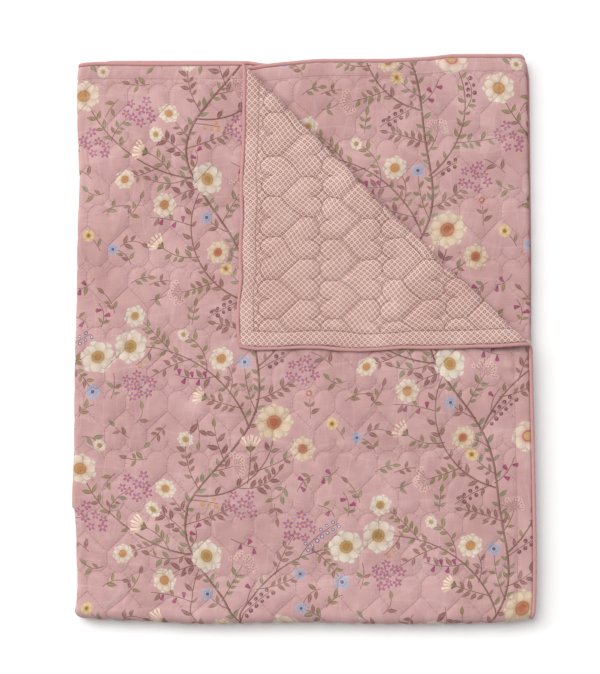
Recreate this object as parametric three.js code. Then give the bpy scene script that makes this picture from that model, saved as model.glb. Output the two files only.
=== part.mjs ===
// A quilted bedspread, folded in thirds across and then in half, with its upper right corner turned back.
// It lies flat: X runs across it, Y runs up to the bound ends, Z is height over the surface it rests on.
import * as THREE from "three";

// Thickness of the two cloths that are quilted together, measured from the middle of the quilt.
const seamGap = 0.3; // between the face cloth and the reverse cloth
const faceFlat = 2.4; // face cloth and its half of the loft, where nothing is raised
const reverseFlat = 2.2;
const stitchedDown = 1.15; // along a stitched line
const raisedTop = 3.7; // at the middle of a quilted heart on the top layer and on the turned corner
const raisedMid = 3.1; // and on the middle layer, which the top layer partly covers
const starShare = 0.5; // of a heart's rise, at the middle of the small star between hearts

// Heights of the three upper layers over the middle of the stack. The lower three mirror them.
const lowLayer = 3.4;
const layerPitch = 6;
const midLayer = lowLayer + layerPitch;
const topLayer = midLayer + layerPitch;
const middleHeight = topLayer + faceFlat;

// Flat lengths, across the quilt and from one bound end to the other.
const acrossTop = 790;
const acrossMid = 769;
const acrossLow = 783;
const rightLoop = layerPitch / 2;
const leftLoop = layerPitch;
const bendLength = Math.PI * topLayer;
const alongHalf = 965;
const flatAlong = 2 * alongHalf + bendLength;

// Places along the flat width where a layer starts or ends.
const midEnd = acrossMid;
const lowStart = midEnd + Math.PI * rightLoop;
const lowEnd = lowStart + acrossLow;
const topStart = lowEnd + Math.PI * leftLoop;
const flatAcross = topStart + acrossTop;

// Piping sewn round the edge.
const pipingHalfWide = 3.4;
const pipingHalfHigh = 2.3;
const pipingSides = 8;
const pipingReach = seamGap + 2 * pipingHalfWide;
const hiddenEdgeInset = 16; // the hidden edge of the middle layer stays inside the left fold

// Heart quilting: lobes of one radius, straight sides at 45 degrees, and short uprights between hearts.
const lobe = 18.3;
const upright = 17.5;
const slope = 2 * lobe;
const heartRow = 2 * (lobe + upright) + slope;
const heartHalf = 2 * lobe;
const heartMiddle = 38;
// The first upright heart's axis is the layer's first line, or the second one where upright is 1.
const topHearts = { start: topStart + 9.6, columns: 20, first: 30.7, rows: 9, raised: raisedTop, upright: 1 };
const midHearts = { start: 30, columns: 20, first: 26, rows: 9, raised: raisedMid, upright: 0 };
const plainColumns = 4; // half hearts in a plain cell where nothing shows
const hemAlong = 22.8; // stitched hem line, from a bound end
const hemAcross = 26.3; // and from a bound side

// The corner that is turned back: its crease as seen from above, and the roll of cloth along it.
const crease = { x0: -104.7, y0: 483.1, x1: 403.9, y1: -8.8 };
const rollRadius = 7.5;
const rollSteps = 5;
const restingLift = 6.9; // of the turned corner over the top layer
const settleLength = 70;
const settleShares = [0.5, 1];

const loopSteps = 4;
const bendSteps = 4;

// Outlines as seen from above, piping included. Each table is smooth between its rows.
// The part's origin is the middle of its box, which lies a little off the tables' own zero.
const boxMiddle = { x: -1.2, y: 0.37 };
const leftFold = [
  { y: -501, x: -385 },
  { y: -480, x: -404 },
  { y: -453, x: -398.5 },
  { y: -386, x: -400.5 },
  { y: -330, x: -402 },
  { y: -300, x: -406 },
  { y: -296, x: -410 },
  { y: -256, x: -409 },
  { y: -186, x: -405.7 },
  { y: -105, x: -405 },
  { y: 17, x: -402 },
  { y: 66, x: -400.5 },
  { y: 209, x: -398.5 },
  { y: 275, x: -395 },
  { y: 318, x: -397 },
  { y: 432, x: -400.5 },
  { y: 487, x: -397.5 },
];
const rightFold = [
  { y: -501, x: 379 },
  { y: -480, x: 396 },
  { y: -250, x: 399 },
  { y: 17, x: 398.6 },
  { y: 307, x: 394.4 },
  { y: 485, x: 392 },
  { y: 502, x: 387 },
];
const rightEdge = [
  { y: -501, x: 402 },
  { y: -476, x: 407.4 },
  { y: -388, x: 409 },
  { y: -282, x: 407.4 },
  { y: -195, x: 405.7 },
  { y: -54, x: 402.2 },
  { y: -10, x: 399.5 },
  { y: 60, x: 400.5 },
  { y: 517, x: 395.5 },
];
const topEnd = [
  { x: -399, y: 486.6 },
  { x: -360, y: 489.3 },
  { x: -254, y: 488.4 },
  { x: -113, y: 489.3 },
  { x: -100, y: 489 },
  { x: 395, y: 517 },
];
const midEndLine = [
  { x: -399, y: 481 },
  { x: -105, y: 481 },
  { x: -69, y: 486 },
  { x: -26, y: 490.5 },
  { x: 36, y: 495 },
  { x: 133, y: 495 },
  { x: 221, y: 499 },
  { x: 267, y: 503.5 },
  { x: 376, y: 503.5 },
  { x: 392, y: 501 },
];
const lowEndLine = [
  { x: -399, y: 484 },
  { x: -340, y: 492.5 },
  { x: -110, y: 492.5 },
  { x: -40, y: 484 },
  { x: 392, y: 496 },
];
const underEndLine = [
  { x: -399, y: 485 },
  { x: -200, y: 490 },
  { x: 100, y: 486 },
  { x: 392, y: 494 },
];
const bottomFold = [
  { x: -404, y: -492.5 },
  { x: -300, y: -496.5 },
  { x: -175, y: -502 },
  { x: -20, y: -499.5 },
  { x: 168, y: -502.5 },
  { x: 340, y: -500.5 },
  { x: 407, y: -494 },
];

const mix = (a, b, t) => a + (b - a) * t;
const ease = (t) => t * t * (3 - 2 * t);
const clamp01 = (t) => Math.min(1, Math.max(0, t));

// Value of a table's column at a place, smooth and without overshoot between rows.
function along(rows, key, column, place) {
  const last = rows.length - 1;
  if (place <= rows[0][key]) return rows[0][column];
  if (place >= rows[last][key]) return rows[last][column];
  let i = 0;
  while (place > rows[i + 1][key]) i += 1;
  const slopeOf = (n) =>
    (rows[n + 1][column] - rows[n][column]) / (rows[n + 1][key] - rows[n][key]);
  const tangentAt = (n) => {
    if (n === 0) return slopeOf(0);
    if (n === last) return slopeOf(last - 1);
    const before = slopeOf(n - 1);
    const after = slopeOf(n);
    return before * after <= 0 ? 0 : (2 * before * after) / (before + after);
  };
  const span = rows[i + 1][key] - rows[i][key];
  const t = (place - rows[i][key]) / span;
  return (
    rows[i][column] * (1 + 2 * t) * (1 - t) ** 2 +
    tangentAt(i) * span * t * (1 - t) ** 2 +
    rows[i + 1][column] * t * t * (3 - 2 * t) +
    tangentAt(i + 1) * span * t * t * (t - 1)
  );
}

// Cross-section of the fold in thirds: which layer a place across the flat quilt comes to lie in.
function crossSection(across) {
  if (across < midEnd) {
    return { layer: "mid", share: across / acrossMid, height: midLayer, nx: 0, nz: 1, rise: 0 };
  }
  if (across < lowStart) {
    const turn = (across - midEnd) / rightLoop;
    return { layer: "right", turn, nx: Math.sin(turn), nz: Math.cos(turn), rise: turn / Math.PI,
      height: (midLayer + lowLayer) / 2 + rightLoop * Math.cos(turn) };
  }
  if (across < lowEnd) {
    const share = 1 - (across - lowStart) / acrossLow;
    return { layer: "low", share, height: lowLayer, nx: 0, nz: -1, rise: 0 };
  }
  if (across < topStart) {
    const turn = (across - lowEnd) / leftLoop;
    return { layer: "left", turn, nx: -Math.sin(turn), nz: -Math.cos(turn), rise: turn / Math.PI,
      height: (topLayer + lowLayer) / 2 - leftLoop * Math.cos(turn) };
  }
  return { layer: "top", share: (across - topStart) / acrossTop, height: topLayer, nx: 0, nz: 1, rise: 0 };
}

// X of a section across the stack, at a given Y.
function acrossAt(section, y) {
  const leftStart = along(leftFold, "y", "x", y) + leftLoop + faceFlat;
  const rightStart = along(rightFold, "y", "x", y) - rightLoop - faceFlat;
  if (section.layer === "mid") {
    return mix(leftStart + hiddenEdgeInset, rightStart, section.share);
  }
  if (section.layer === "right") return rightStart + rightLoop * Math.sin(section.turn);
  if (section.layer === "low") return mix(leftStart, rightStart, section.share);
  if (section.layer === "left") return leftStart - leftLoop * Math.sin(section.turn);
  return mix(leftStart, along(rightEdge, "y", "x", y) - pipingReach, section.share);
}

// Y at which a layer's bound end lies, over or under the middle of the stack.
function endAt(section, x, under) {
  if (under) return along(underEndLine, "x", "y", x) - pipingReach;
  const low = along(lowEndLine, "x", "y", x);
  const mid = along(midEndLine, "x", "y", x);
  const top = along(topEnd, "x", "y", x);
  const byLayer = {
    mid,
    right: mix(mid, low, ease(section.rise)),
    low,
    left: mix(low, top, ease(section.rise)),
    top,
  };
  return byLayer[section.layer] - pipingReach;
}

const creaseLength = Math.hypot(crease.x1 - crease.x0, crease.y1 - crease.y0);
const creaseNormal = {
  x: (crease.y0 - crease.y1) / creaseLength,
  y: (crease.x1 - crease.x0) / creaseLength,
};

// How far a place seen from above lies beyond the line where the cloth leaves the layer to roll back.
function beyondCrease(x, y) {
  const reach = (x - crease.x0) * creaseNormal.x + (y - crease.y0) * creaseNormal.y;
  return reach + rollRadius + reverseFlat;
}

// The middle of the quilt at a flat place, before the corner is turned back.
function layAt(across, upAlong) {
  const section = crossSection(across);
  const bendEnd = alongHalf + bendLength;
  const turn = Math.PI * clamp01((upAlong - alongHalf) / bendLength);
  let x = acrossAt(section, 0);
  let y = 0;
  for (let pass = 0; pass < 3; pass += 1) {
    const axis = along(bottomFold, "x", "y", x) + middleHeight;
    if (upAlong < alongHalf) y = mix(endAt(section, x, false), axis, upAlong / alongHalf);
    else if (upAlong > bendEnd) {
      y = mix(axis, endAt(section, x, true), (upAlong - bendEnd) / alongHalf);
    } else y = axis - section.height * Math.sin(turn);
    x = acrossAt(section, y);
  }
  return { section, turn, x, y };
}

// Where a point of the quilt ends up. Lift is its height over the middle of the cloth, on the face side.
function place(across, upAlong, lift) {
  const { section, turn, x, y } = layAt(across, upAlong);
  const reach = beyondCrease(x, y);
  if (section.layer !== "top" || upAlong > alongHalf || reach <= 0) {
    const height = section.height + lift * section.nz;
    return new THREE.Vector3(
      x - boxMiddle.x + lift * section.nx,
      y - boxMiddle.y - lift * section.nz * Math.sin(turn),
      middleHeight + height * Math.cos(turn),
    );
  }
  const rolled = Math.min(Math.PI, reach / rollRadius);
  const past = Math.max(0, reach - Math.PI * rollRadius);
  const settle = ease(clamp01(past / settleLength));
  const back = rollRadius * Math.sin(rolled) - past - lift * Math.sin(rolled);
  const rise =
    rollRadius * (1 - Math.cos(rolled)) -
    (2 * rollRadius - restingLift) * settle +
    lift * Math.cos(rolled);
  return new THREE.Vector3(
    x - boxMiddle.x + (back - reach) * creaseNormal.x,
    y - boxMiddle.y + (back - reach) * creaseNormal.y,
    middleHeight + topLayer + rise,
  );
}

// Flat mesh of points (across, along, lift) and triangles, which grows one cell at a time.
function emptyCloth(flatLift) {
  return { points: [], triangles: [], byPlace: new Map(), flatLift, outward: Math.sign(flatLift) };
}

function pointOf(cloth, across, upAlong, lift) {
  const key = Math.round(across * 1000) + "," + Math.round(upAlong * 1000);
  if (!cloth.byPlace.has(key)) {
    cloth.byPlace.set(key, cloth.points.length);
    cloth.points.push([across, upAlong, lift ?? cloth.flatLift]);
  }
  return cloth.byPlace.get(key);
}

function addTriangle(cloth, a, b, c) {
  const [pa, pb, pc] = [a, b, c].map((n) => cloth.points[n]);
  const area = (pb[0] - pa[0]) * (pc[1] - pa[1]) - (pb[1] - pa[1]) * (pc[0] - pa[0]);
  if (area > 0) cloth.triangles.push([a, b, c]);
  else cloth.triangles.push([a, c, b]);
}

// One column of quilting between two heart axes, one row high: half a heart upright, half one inverted.
function addHeartCell(cloth, left, start, mirrored, raised) {
  const bowed = lobe * Math.SQRT1_2;
  const halfRaised = mix(stitchedDown, raised, starShare);
  const at = (x, y, lift, inverted) => {
    const flip = mirrored !== inverted;
    const px = left + (flip ? heartHalf - x : x);
    const py = start + (inverted ? heartRow - y : y);
    return pointOf(cloth, px, py, lift * cloth.outward);
  };
  for (const inverted of [false, true]) {
    const notch = at(0, lobe, stitchedDown, inverted);
    const rise = at(lobe - bowed, lobe - bowed, stitchedDown, inverted);
    const crown = at(lobe, 0, stitchedDown, inverted);
    const fall = at(lobe + bowed, lobe - bowed, stitchedDown, inverted);
    const shoulder = at(heartHalf, lobe, stitchedDown, inverted);
    const elbow = at(heartHalf, lobe + upright, stitchedDown, inverted);
    const tip = at(0, lobe + upright + slope, stitchedDown, inverted);
    const middle = at(0, heartMiddle, raised, inverted);
    const puff = at(lobe, lobe + upright / 3, raised, inverted);
    const ring = [middle, notch, rise, crown, fall, shoulder, elbow];
    ring.forEach((from, n) => addTriangle(cloth, puff, from, ring[(n + 1) % ring.length]));
    addTriangle(cloth, middle, elbow, tip);
    const nearStar = at(0, 0, halfRaised, inverted);
    const farStar = at(heartHalf, 0, halfRaised, inverted);
    addTriangle(cloth, nearStar, notch, rise);
    addTriangle(cloth, nearStar, rise, crown);
    addTriangle(cloth, farStar, crown, fall);
    addTriangle(cloth, farStar, fall, shoulder);
  }
}

// Lift of a plain place: the stitched hem line is drawn down where it shows, on the two outer sides.
function hemLift(cloth, across, upAlong) {
  const near = 1e-6;
  const isOn = (value, line) => Math.abs(value - line) < near;
  const topHem = isOn(upAlong, hemAlong) && across > near && across < flatAcross - near;
  const sideHem = isOn(across, flatAcross - hemAcross) && upAlong > near;
  const shows = upAlong <= alongHalf && Math.abs(cloth.flatLift) > seamGap;
  return shows && (topHem || sideHem) ? stitchedDown * cloth.outward : cloth.flatLift;
}

// Plain rectangles between lists of places, filled after the hearts so that they meet every point there.
function addPlainCells(cloth, cells) {
  const corners = cells.flatMap(([x0, y0, x1, y1]) => [[x0, y0], [x1, y0], [x1, y1], [x0, y1]]);
  corners.forEach(([x, y]) => pointOf(cloth, x, y, hemLift(cloth, x, y)));
  const near = 1e-6;
  for (const [x0, y0, x1, y1] of cells) {
    const on = (n, from, to, axis) => {
      const p = cloth.points[n];
      const other = 1 - axis;
      const inside = p[axis] > Math.min(from[axis], to[axis]) - near;
      const within = p[axis] < Math.max(from[axis], to[axis]) + near;
      return inside && within && Math.abs(p[other] - from[other]) < near;
    };
    const box = [[x0, y0], [x1, y0], [x1, y1], [x0, y1]];
    const rim = box.flatMap((from, side) => {
      const to = box[(side + 1) % 4];
      const axis = side % 2;
      const way = Math.sign(to[axis] - from[axis]);
      return [...cloth.points.keys()]
        .filter((n) => on(n, from, to, axis))
        .sort((a, b) => way * (cloth.points[a][axis] - cloth.points[b][axis]))
        .slice(0, -1);
    });
    if (rim.length === 4) {
      addTriangle(cloth, rim[0], rim[1], rim[2]);
      addTriangle(cloth, rim[0], rim[2], rim[3]);
    } else {
      const centre = pointOf(cloth, (x0 + x1) / 2, (y0 + y1) / 2);
      rim.forEach((from, n) => addTriangle(cloth, centre, from, rim[(n + 1) % rim.length]));
    }
  }
}

// Cuts every triangle that a line crosses. The line is where the given function of a point is zero.
function cutAlong(cloth, side) {
  const near = 1e-3;
  const sides = cloth.points.map(([x, y]) => {
    const value = side(x, y);
    return Math.abs(value) < near ? 0 : value;
  });
  const cuts = new Map();
  const cutOf = (a, b) => {
    const [from, to] = a < b ? [a, b] : [b, a];
    const key = from + "," + to;
    if (!cuts.has(key)) {
      const t = sides[from] / (sides[from] - sides[to]);
      const [x, y, lift] = cloth.points[from].map((v, n) => mix(v, cloth.points[to][n], t));
      cuts.set(key, pointOf(cloth, x, y, lift));
    }
    return cuts.get(key);
  };
  cloth.triangles = cloth.triangles.flatMap((t) => {
    const signs = t.map((n) => Math.sign(sides[n]));
    if (!signs.includes(1) || !signs.includes(-1)) return [t];
    const zero = signs.indexOf(0);
    if (zero >= 0) {
      const [a, b, c] = [t[zero], t[(zero + 1) % 3], t[(zero + 2) % 3]];
      const m = cutOf(b, c);
      return [[a, b, m], [a, m, c]];
    }
    const lone = signs.findIndex((s) => signs.filter((other) => other === s).length === 1);
    const [a, b, c] = [t[lone], t[(lone + 1) % 3], t[(lone + 2) % 3]];
    const ab = cutOf(a, b);
    const ac = cutOf(a, c);
    return [[a, ab, ac], [ab, b, c], [ab, c, ac]];
  });
}

const spread = (from, to, steps) =>
  Array.from({ length: steps + 1 }, (_, n) => mix(from, to, n / steps));

// Rectangles of a grid given by its lines.
const gridCells = (xs, ys) =>
  xs.slice(1).flatMap((x, i) => ys.slice(1).map((y, j) => [xs[i], ys[j], x, y]));

const heartEnd = (hearts) => ({
  x: hearts.start + hearts.columns * heartHalf,
  y: hearts.first + hearts.rows * heartRow,
});

// Hearts and plain cells of the quilted part of one upper layer. Shown tells which cells carry hearts.
function addQuilting(cloth, hearts, layerStart, layerEnd, shown) {
  const end = heartEnd(hearts);
  const plain = [];
  const group = Array.from({ length: plainColumns }, (_, n) => n);
  for (let column = 0; column < hearts.columns; column += plainColumns) {
    for (let row = 0; row < hearts.rows; row += 1) {
      const left = hearts.start + column * heartHalf;
      const top = hearts.first + row * heartRow;
      const lefts = group.map((n) => left + n * heartHalf);
      const carries = lefts.map((x) => shown(x + heartHalf / 2, top + heartRow / 2));
      if (!carries.includes(true)) {
        plain.push([left, top, left + plainColumns * heartHalf, top + heartRow]);
        continue;
      }
      group.forEach((n) => {
        const mirrored = (column + n + hearts.upright) % 2 === 1;
        if (carries[n]) addHeartCell(cloth, lefts[n], top, mirrored, hearts.raised);
        else plain.push([lefts[n], top, lefts[n] + heartHalf, top + heartRow]);
      });
    }
  }
  const rows = spread(hearts.first, end.y, hearts.rows);
  return [
    ...plain,
    ...gridCells([layerStart, hearts.start], rows),
    ...gridCells([end.x, layerEnd], rows),
  ];
}

// One side of the quilt as a flat mesh. Shown says, for the top and the middle layer, where hearts show.
function clothSide(flatLift, shown) {
  const cloth = emptyCloth(flatLift);
  const cells = [];
  const bendEnd = alongHalf + bendLength;
  const upperRows = spread(hemAlong, alongHalf, 5);
  const bendRows = spread(alongHalf, bendEnd, bendSteps);
  const underRows = spread(bendEnd, flatAlong - hemAlong, 4);
  const sideRows = [...upperRows, ...bendRows.slice(1), ...underRows.slice(1)];
  const lowColumns = spread(lowStart, lowEnd, 4);
  const rightColumns = spread(midEnd, lowStart, loopSteps);
  const leftColumns = spread(lowEnd, topStart, loopSteps);
  const columnsFor = ({ hearts, from, to }, share) => [
    from,
    ...spread(hearts.start, heartEnd(hearts).x, hearts.columns / share),
    to,
  ];
  const top = { hearts: topHearts, from: topStart, to: flatAcross - hemAcross, test: shown?.top };
  const mid = { hearts: midHearts, from: hemAcross, to: midEnd, test: shown?.mid };
  for (const layer of [top, mid]) {
    const columns = columnsFor(layer, plainColumns);
    const bendColumns = columnsFor(layer, plainColumns / 2);
    if (layer.test) {
      cells.push(...addQuilting(cloth, layer.hearts, layer.from, layer.to, layer.test));
      cells.push(...gridCells(columns, [hemAlong, layer.hearts.first]));
      cells.push(...gridCells(bendColumns, [heartEnd(layer.hearts).y, bendEnd]));
    } else {
      cells.push(...gridCells(columns, upperRows));
      cells.push(...gridCells(bendColumns, bendRows));
    }
    cells.push(...gridCells(columns, underRows));
  }
  cells.push(...gridCells(lowColumns, upperRows), ...gridCells(lowColumns, underRows));
  cells.push(...gridCells(spread(lowStart, lowEnd, 8), bendRows));
  for (const columns of [rightColumns, leftColumns]) {
    cells.push(...gridCells(columns, sideRows));
  }
  const everyColumn = [
    0,
    ...columnsFor(mid, plainColumns),
    ...rightColumns.slice(1),
    ...lowColumns.slice(1),
    ...leftColumns.slice(1),
    ...columnsFor(top, plainColumns).slice(1),
    flatAcross,
  ];
  cells.push(...gridCells(everyColumn, [0, hemAlong]));
  cells.push(...gridCells(everyColumn, [flatAlong - hemAlong, flatAlong]));
  cells.push(...gridCells([0, hemAcross], sideRows));
  cells.push(...gridCells([flatAcross - hemAcross, flatAcross], sideRows));
  addPlainCells(cloth, cells);
  for (const line of bendRows) cutAlong(cloth, (x, y) => y - line);
  const overRoll = (x, y) => {
    if (x < topStart || y > alongHalf) return -1;
    const laid = layAt(x, y);
    return beyondCrease(laid.x, laid.y);
  };
  for (let step = 0; step <= rollSteps; step += 1) {
    const line = (Math.PI * rollRadius * step) / rollSteps;
    cutAlong(cloth, (x, y) => overRoll(x, y) - line);
  }
  for (const share of settleShares) {
    const line = Math.PI * rollRadius + settleLength * share;
    cutAlong(cloth, (x, y) => overRoll(x, y) - line);
  }
  return cloth;
}

// Edges of a flat mesh that only one triangle has, in the direction in which that triangle runs.
function rimEdges(cloth) {
  const seen = new Set(cloth.triangles.flatMap((t) => t.map((a, n) => a + "," + t[(n + 1) % 3])));
  return [...seen]
    .map((key) => key.split(",").map(Number))
    .filter(([a, b]) => !seen.has(b + "," + a));
}

// A cloth as a closed body: an outer side, an inner side, and a narrow wall along the whole edge.
function clothBody(outer, inner) {
  const vertices = [];
  const indices = [];
  const firstInner = outer.points.length;
  for (const cloth of [outer, inner]) {
    for (const [across, upAlong, lift] of cloth.points) {
      vertices.push(...place(across, upAlong, lift).toArray());
    }
  }
  const facesUp = outer.flatLift > inner.flatLift;
  const keep = ([a, b, c]) => (facesUp ? [a, c, b] : [a, b, c]);
  outer.triangles.forEach((t) => indices.push(...keep(t)));
  inner.triangles.forEach((t) => indices.push(...keep(t).reverse().map((n) => n + firstInner)));
  const keyOf = ([x, y]) => Math.round(x * 100) + "," + Math.round(y * 100);
  const innerByKey = new Map(inner.points.map((p, n) => [keyOf(p), n + firstInner]));
  for (const [a, b] of rimEdges(outer)) {
    const [c, d] = [a, b].map((n) => innerByKey.get(keyOf(outer.points[n])));
    if (c === undefined || d === undefined) throw new Error("the two sides differ along the edge");
    indices.push(...keep([b, a, c]), ...keep([b, c, d]));
  }
  return bodyFrom(vertices, indices);
}

function bodyFrom(vertices, indices) {
  const geometry = new THREE.BufferGeometry();
  geometry.setAttribute("position", new THREE.Float32BufferAttribute(vertices, 3));
  geometry.setIndex(indices);
  geometry.computeVertexNormals();
  return geometry;
}

// Places round the whole edge of a flat mesh, in order.
function edgePlaces(cloth) {
  const next = new Map(rimEdges(cloth));
  const places = [];
  let at = next.keys().next().value;
  do {
    places.push(cloth.points[at]);
    at = next.get(at);
  } while (places.length < next.size);
  return places;
}

// Piping: one closed cord round the whole edge, which goes through every fold with the cloth.
function pipingBody(cloth) {
  const near = 1e-6;
  const outward = (value, end) => (value > end - near ? 1 : 0) - (value < near ? 1 : 0);
  const stations = edgePlaces(cloth);
  const vertices = [];
  const indices = [];
  stations.forEach(([across, upAlong], n) => {
    for (let side = 0; side < pipingSides; side += 1) {
      const angle = (2 * Math.PI * (side + 0.5)) / pipingSides;
      const flank = Math.cos(Math.PI / pipingSides);
      const out = seamGap + pipingHalfWide * (1 + Math.cos(angle) / flank);
      const x = across + out * outward(across, flatAcross);
      const y = upAlong + out * outward(upAlong, flatAlong);
      vertices.push(...place(x, y, (pipingHalfHigh * Math.sin(angle)) / flank).toArray());
      const next = (n + 1) % stations.length;
      const [a, b] = [n * pipingSides + side, n * pipingSides + ((side + 1) % pipingSides)];
      const [c, d] = [next * pipingSides + side, next * pipingSides + ((side + 1) % pipingSides)];
      indices.push(a, b, c, b, d, c);
    }
  });
  return bodyFrom(vertices, indices);
}

// The visible parts of each layer carry hearts, and what other layers cover stays plain.
const turnedLeft = topStart + 300;
const turnedLow = 494;
const reachOf = (across, upAlong) => {
  const laid = layAt(across, upAlong);
  return beyondCrease(laid.x, laid.y);
};
const facesShown = {
  top: (across, upAlong) => across < turnedLeft + heartHalf / 2 || upAlong + heartRow / 2 > turnedLow,
  mid: (across, upAlong) => reachOf(across, upAlong) > -heartRow / 3,
};
const reverseShown = {
  top: (across, upAlong) => reachOf(across, upAlong) > heartRow,
};

const innerFace = clothSide(seamGap / 2);
const innerReverse = clothSide(-seamGap / 2);
const pieces = [
  {
    name: "face_cloth",
    geometry: clothBody(clothSide(faceFlat, facesShown), innerFace),
    finish: { color: 0xcda5a2, roughness: 0.92, metalness: 0 },
  },
  {
    name: "reverse_cloth",
    geometry: clothBody(clothSide(-reverseFlat, reverseShown), innerReverse),
    finish: { color: 0xd2b0a8, roughness: 0.92, metalness: 0 },
  },
  {
    name: "piping",
    geometry: pipingBody(innerFace),
    finish: { color: 0xc48f8f, roughness: 0.85, metalness: 0 },
  },
];

const quilt = new THREE.Group();
for (const { name, geometry, finish } of pieces) {
  const mesh = new THREE.Mesh(geometry, new THREE.MeshStandardMaterial(finish));
  mesh.name = name;
  quilt.add(mesh);
}

export default quilt;
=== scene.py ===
import math
import random
from bisect import bisect_left, bisect_right
from collections import defaultdict

import bpy
import numpy as np
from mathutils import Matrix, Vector
from mathutils.bvhtree import BVHTree
from mathutils.kdtree import KDTree


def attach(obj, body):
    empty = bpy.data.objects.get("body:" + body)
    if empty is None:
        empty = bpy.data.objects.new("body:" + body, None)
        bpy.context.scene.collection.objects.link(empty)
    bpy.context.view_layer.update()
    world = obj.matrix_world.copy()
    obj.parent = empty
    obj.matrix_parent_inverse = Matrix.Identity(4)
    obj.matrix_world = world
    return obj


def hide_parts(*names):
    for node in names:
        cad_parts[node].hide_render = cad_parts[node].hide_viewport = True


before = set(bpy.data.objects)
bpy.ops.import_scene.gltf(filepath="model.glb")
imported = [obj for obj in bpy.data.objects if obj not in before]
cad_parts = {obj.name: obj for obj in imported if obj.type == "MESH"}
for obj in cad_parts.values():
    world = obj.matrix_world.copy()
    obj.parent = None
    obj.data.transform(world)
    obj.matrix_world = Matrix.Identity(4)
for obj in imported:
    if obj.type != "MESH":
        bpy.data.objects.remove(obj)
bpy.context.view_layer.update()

mm = 0.001


# How the quilt was sewn and how it is folded, in millimetres. "Across" runs over the whole width of the flat
# cloth and "up" over its length, from the bound ends that lie on top. Lift is height over the cloth's middle.
fold = {
    "seamGap": 0.3,  # between the two cloths
    "faceFlat": 2.4,  # face cloth with its half of the loft
    "reverseFlat": 2.2,
    "stitchedDown": 1.15,  # along a seam
    "lowLayer": 3.4,  # height of the lowest of the three upper layers over the middle of the stack
    "layerPitch": 6.0,
    "acrossMid": 769.0,
    "acrossLow": 783.0,
    "acrossTop": 790.0,
    "alongHalf": 965.0,
    "hiddenEdgeInset": 16.0,
    "pipingReach": 7.1,
    "rollRadius": 9.0,  # half the height of the turned corner's roll
    "rollWide": 19.0,  # and half its width
    "restingLift": 6.9,
    "settleLength": 70.0,
    "creaseStart": (-104.7, 483.1),
    "creaseEnd": (401.1, -11.7),
    "creaseLong": 708.0,
    "creaseBow": 6.0,  # to the corner's side, at the middle
    "bowFade": 330.0,
    "ragged": 1.5,
    "raggedFine": 0.9,
    "swell": 1.1,  # of the stack's top
    "boxMiddle": (-1.2, 0.37),
    "cornerRound": 9.0,
}

# Outlines from above, as (place, edge) in millimetres.
outlines = {
    "leftFold": [
        (-501, -387), (-480, -405.5), (-453, -400.5), (-386, -402.5), (-330, -404), (-300, -407), (-296, -410.5),
        (-256, -410), (-186, -407), (-105, -406.5), (17, -404), (66, -402.5), (209, -400.5), (275, -397.5),
        (318, -399), (432, -402), (487, -399),
    ],
    "rightFold": [(-501, 379), (-480, 396), (-250, 399), (17, 398.6), (307, 394.4), (485, 392), (502, 387)],
    "rightEdge": [
        (-501, 402), (-476, 407.4), (-388, 409), (-282, 407.4), (-195, 405.7), (-54, 402.2), (-10, 401.5),
        (60, 402.5), (517, 398.5),
    ],
    "topEnd": [(-399, 486.6), (-360, 489.3), (-254, 488.4), (-113, 489.3), (-100, 489), (395, 511.5)],
    "midEnd": [
        (-399, 481), (-105, 481), (-69, 486), (-26, 490.5), (36, 495), (133, 495), (221, 499), (267, 503.5),
        (376, 503.5), (392, 501),
    ],
    "lowEnd": [(-399, 484), (-340, 492.5), (-110, 492.5), (-40, 484), (392, 496)],
    "underEnd": [(-399, 485), (-200, 490), (100, 486), (392, 494)],
    "bottomFold": [
        (-404, -492.5), (-300, -496.5), (-175, -502), (-20, -499.5), (168, -502.5), (340, -500.5), (407, -494),
    ],
}

# Places and heights that follow from the sizes above.
midLayer = fold["lowLayer"] + fold["layerPitch"]
topLayer = midLayer + fold["layerPitch"]
middleHeight = topLayer + fold["faceFlat"]
rightLoop = fold["layerPitch"] / 2
leftLoop = fold["layerPitch"]
bendLength = math.pi * topLayer
bendEnd = fold["alongHalf"] + bendLength
flatAlong = 2 * fold["alongHalf"] + bendLength
midEnd = fold["acrossMid"]
lowStart = midEnd + math.pi * rightLoop
lowEnd = lowStart + fold["acrossLow"]
topStart = lowEnd + math.pi * leftLoop
flatAcross = topStart + fold["acrossTop"]
creaseStart = np.array(fold["creaseStart"])
creaseRun = np.array(fold["creaseEnd"]) - creaseStart
creaseRun /= np.linalg.norm(creaseRun)
creaseNormal = np.array([-creaseRun[1], creaseRun[0]])


def mix(a, b, t):
    return a + (b - a) * t


def addObject(name, data):
    made = bpy.data.objects.new(name, data)
    bpy.context.scene.collection.objects.link(made)
    return made


def addMesh(name, points, faces, edges=()):
    mesh = bpy.data.meshes.new(name)
    mesh.from_pydata(points, edges, faces)
    mesh.polygons.foreach_set("use_smooth", np.ones(len(faces), bool))
    return mesh


# Numbers of a mesh's corners or faces, such as each corner's point.
def readNumbers(rows, label):
    values = np.zeros(len(rows), int)
    rows.foreach_get(label, values)
    return values


# A UV map by the name "flat" from a place in metres for each corner.
def addUvMap(mesh, places):
    mesh.uv_layers.new(name="flat").data.foreach_set("uv", places.astype(np.float32).ravel())


def addVectors(mesh, name, domain, rows):
    mesh.attributes.new(name, "FLOAT_VECTOR", domain).data.foreach_set("vector", rows.astype(np.float32).ravel())


def ease(t, start=0.0, end=1.0):
    t = np.clip((t - start) / (end - start), 0, 1)
    return t * t * (3 - 2 * t)


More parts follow.
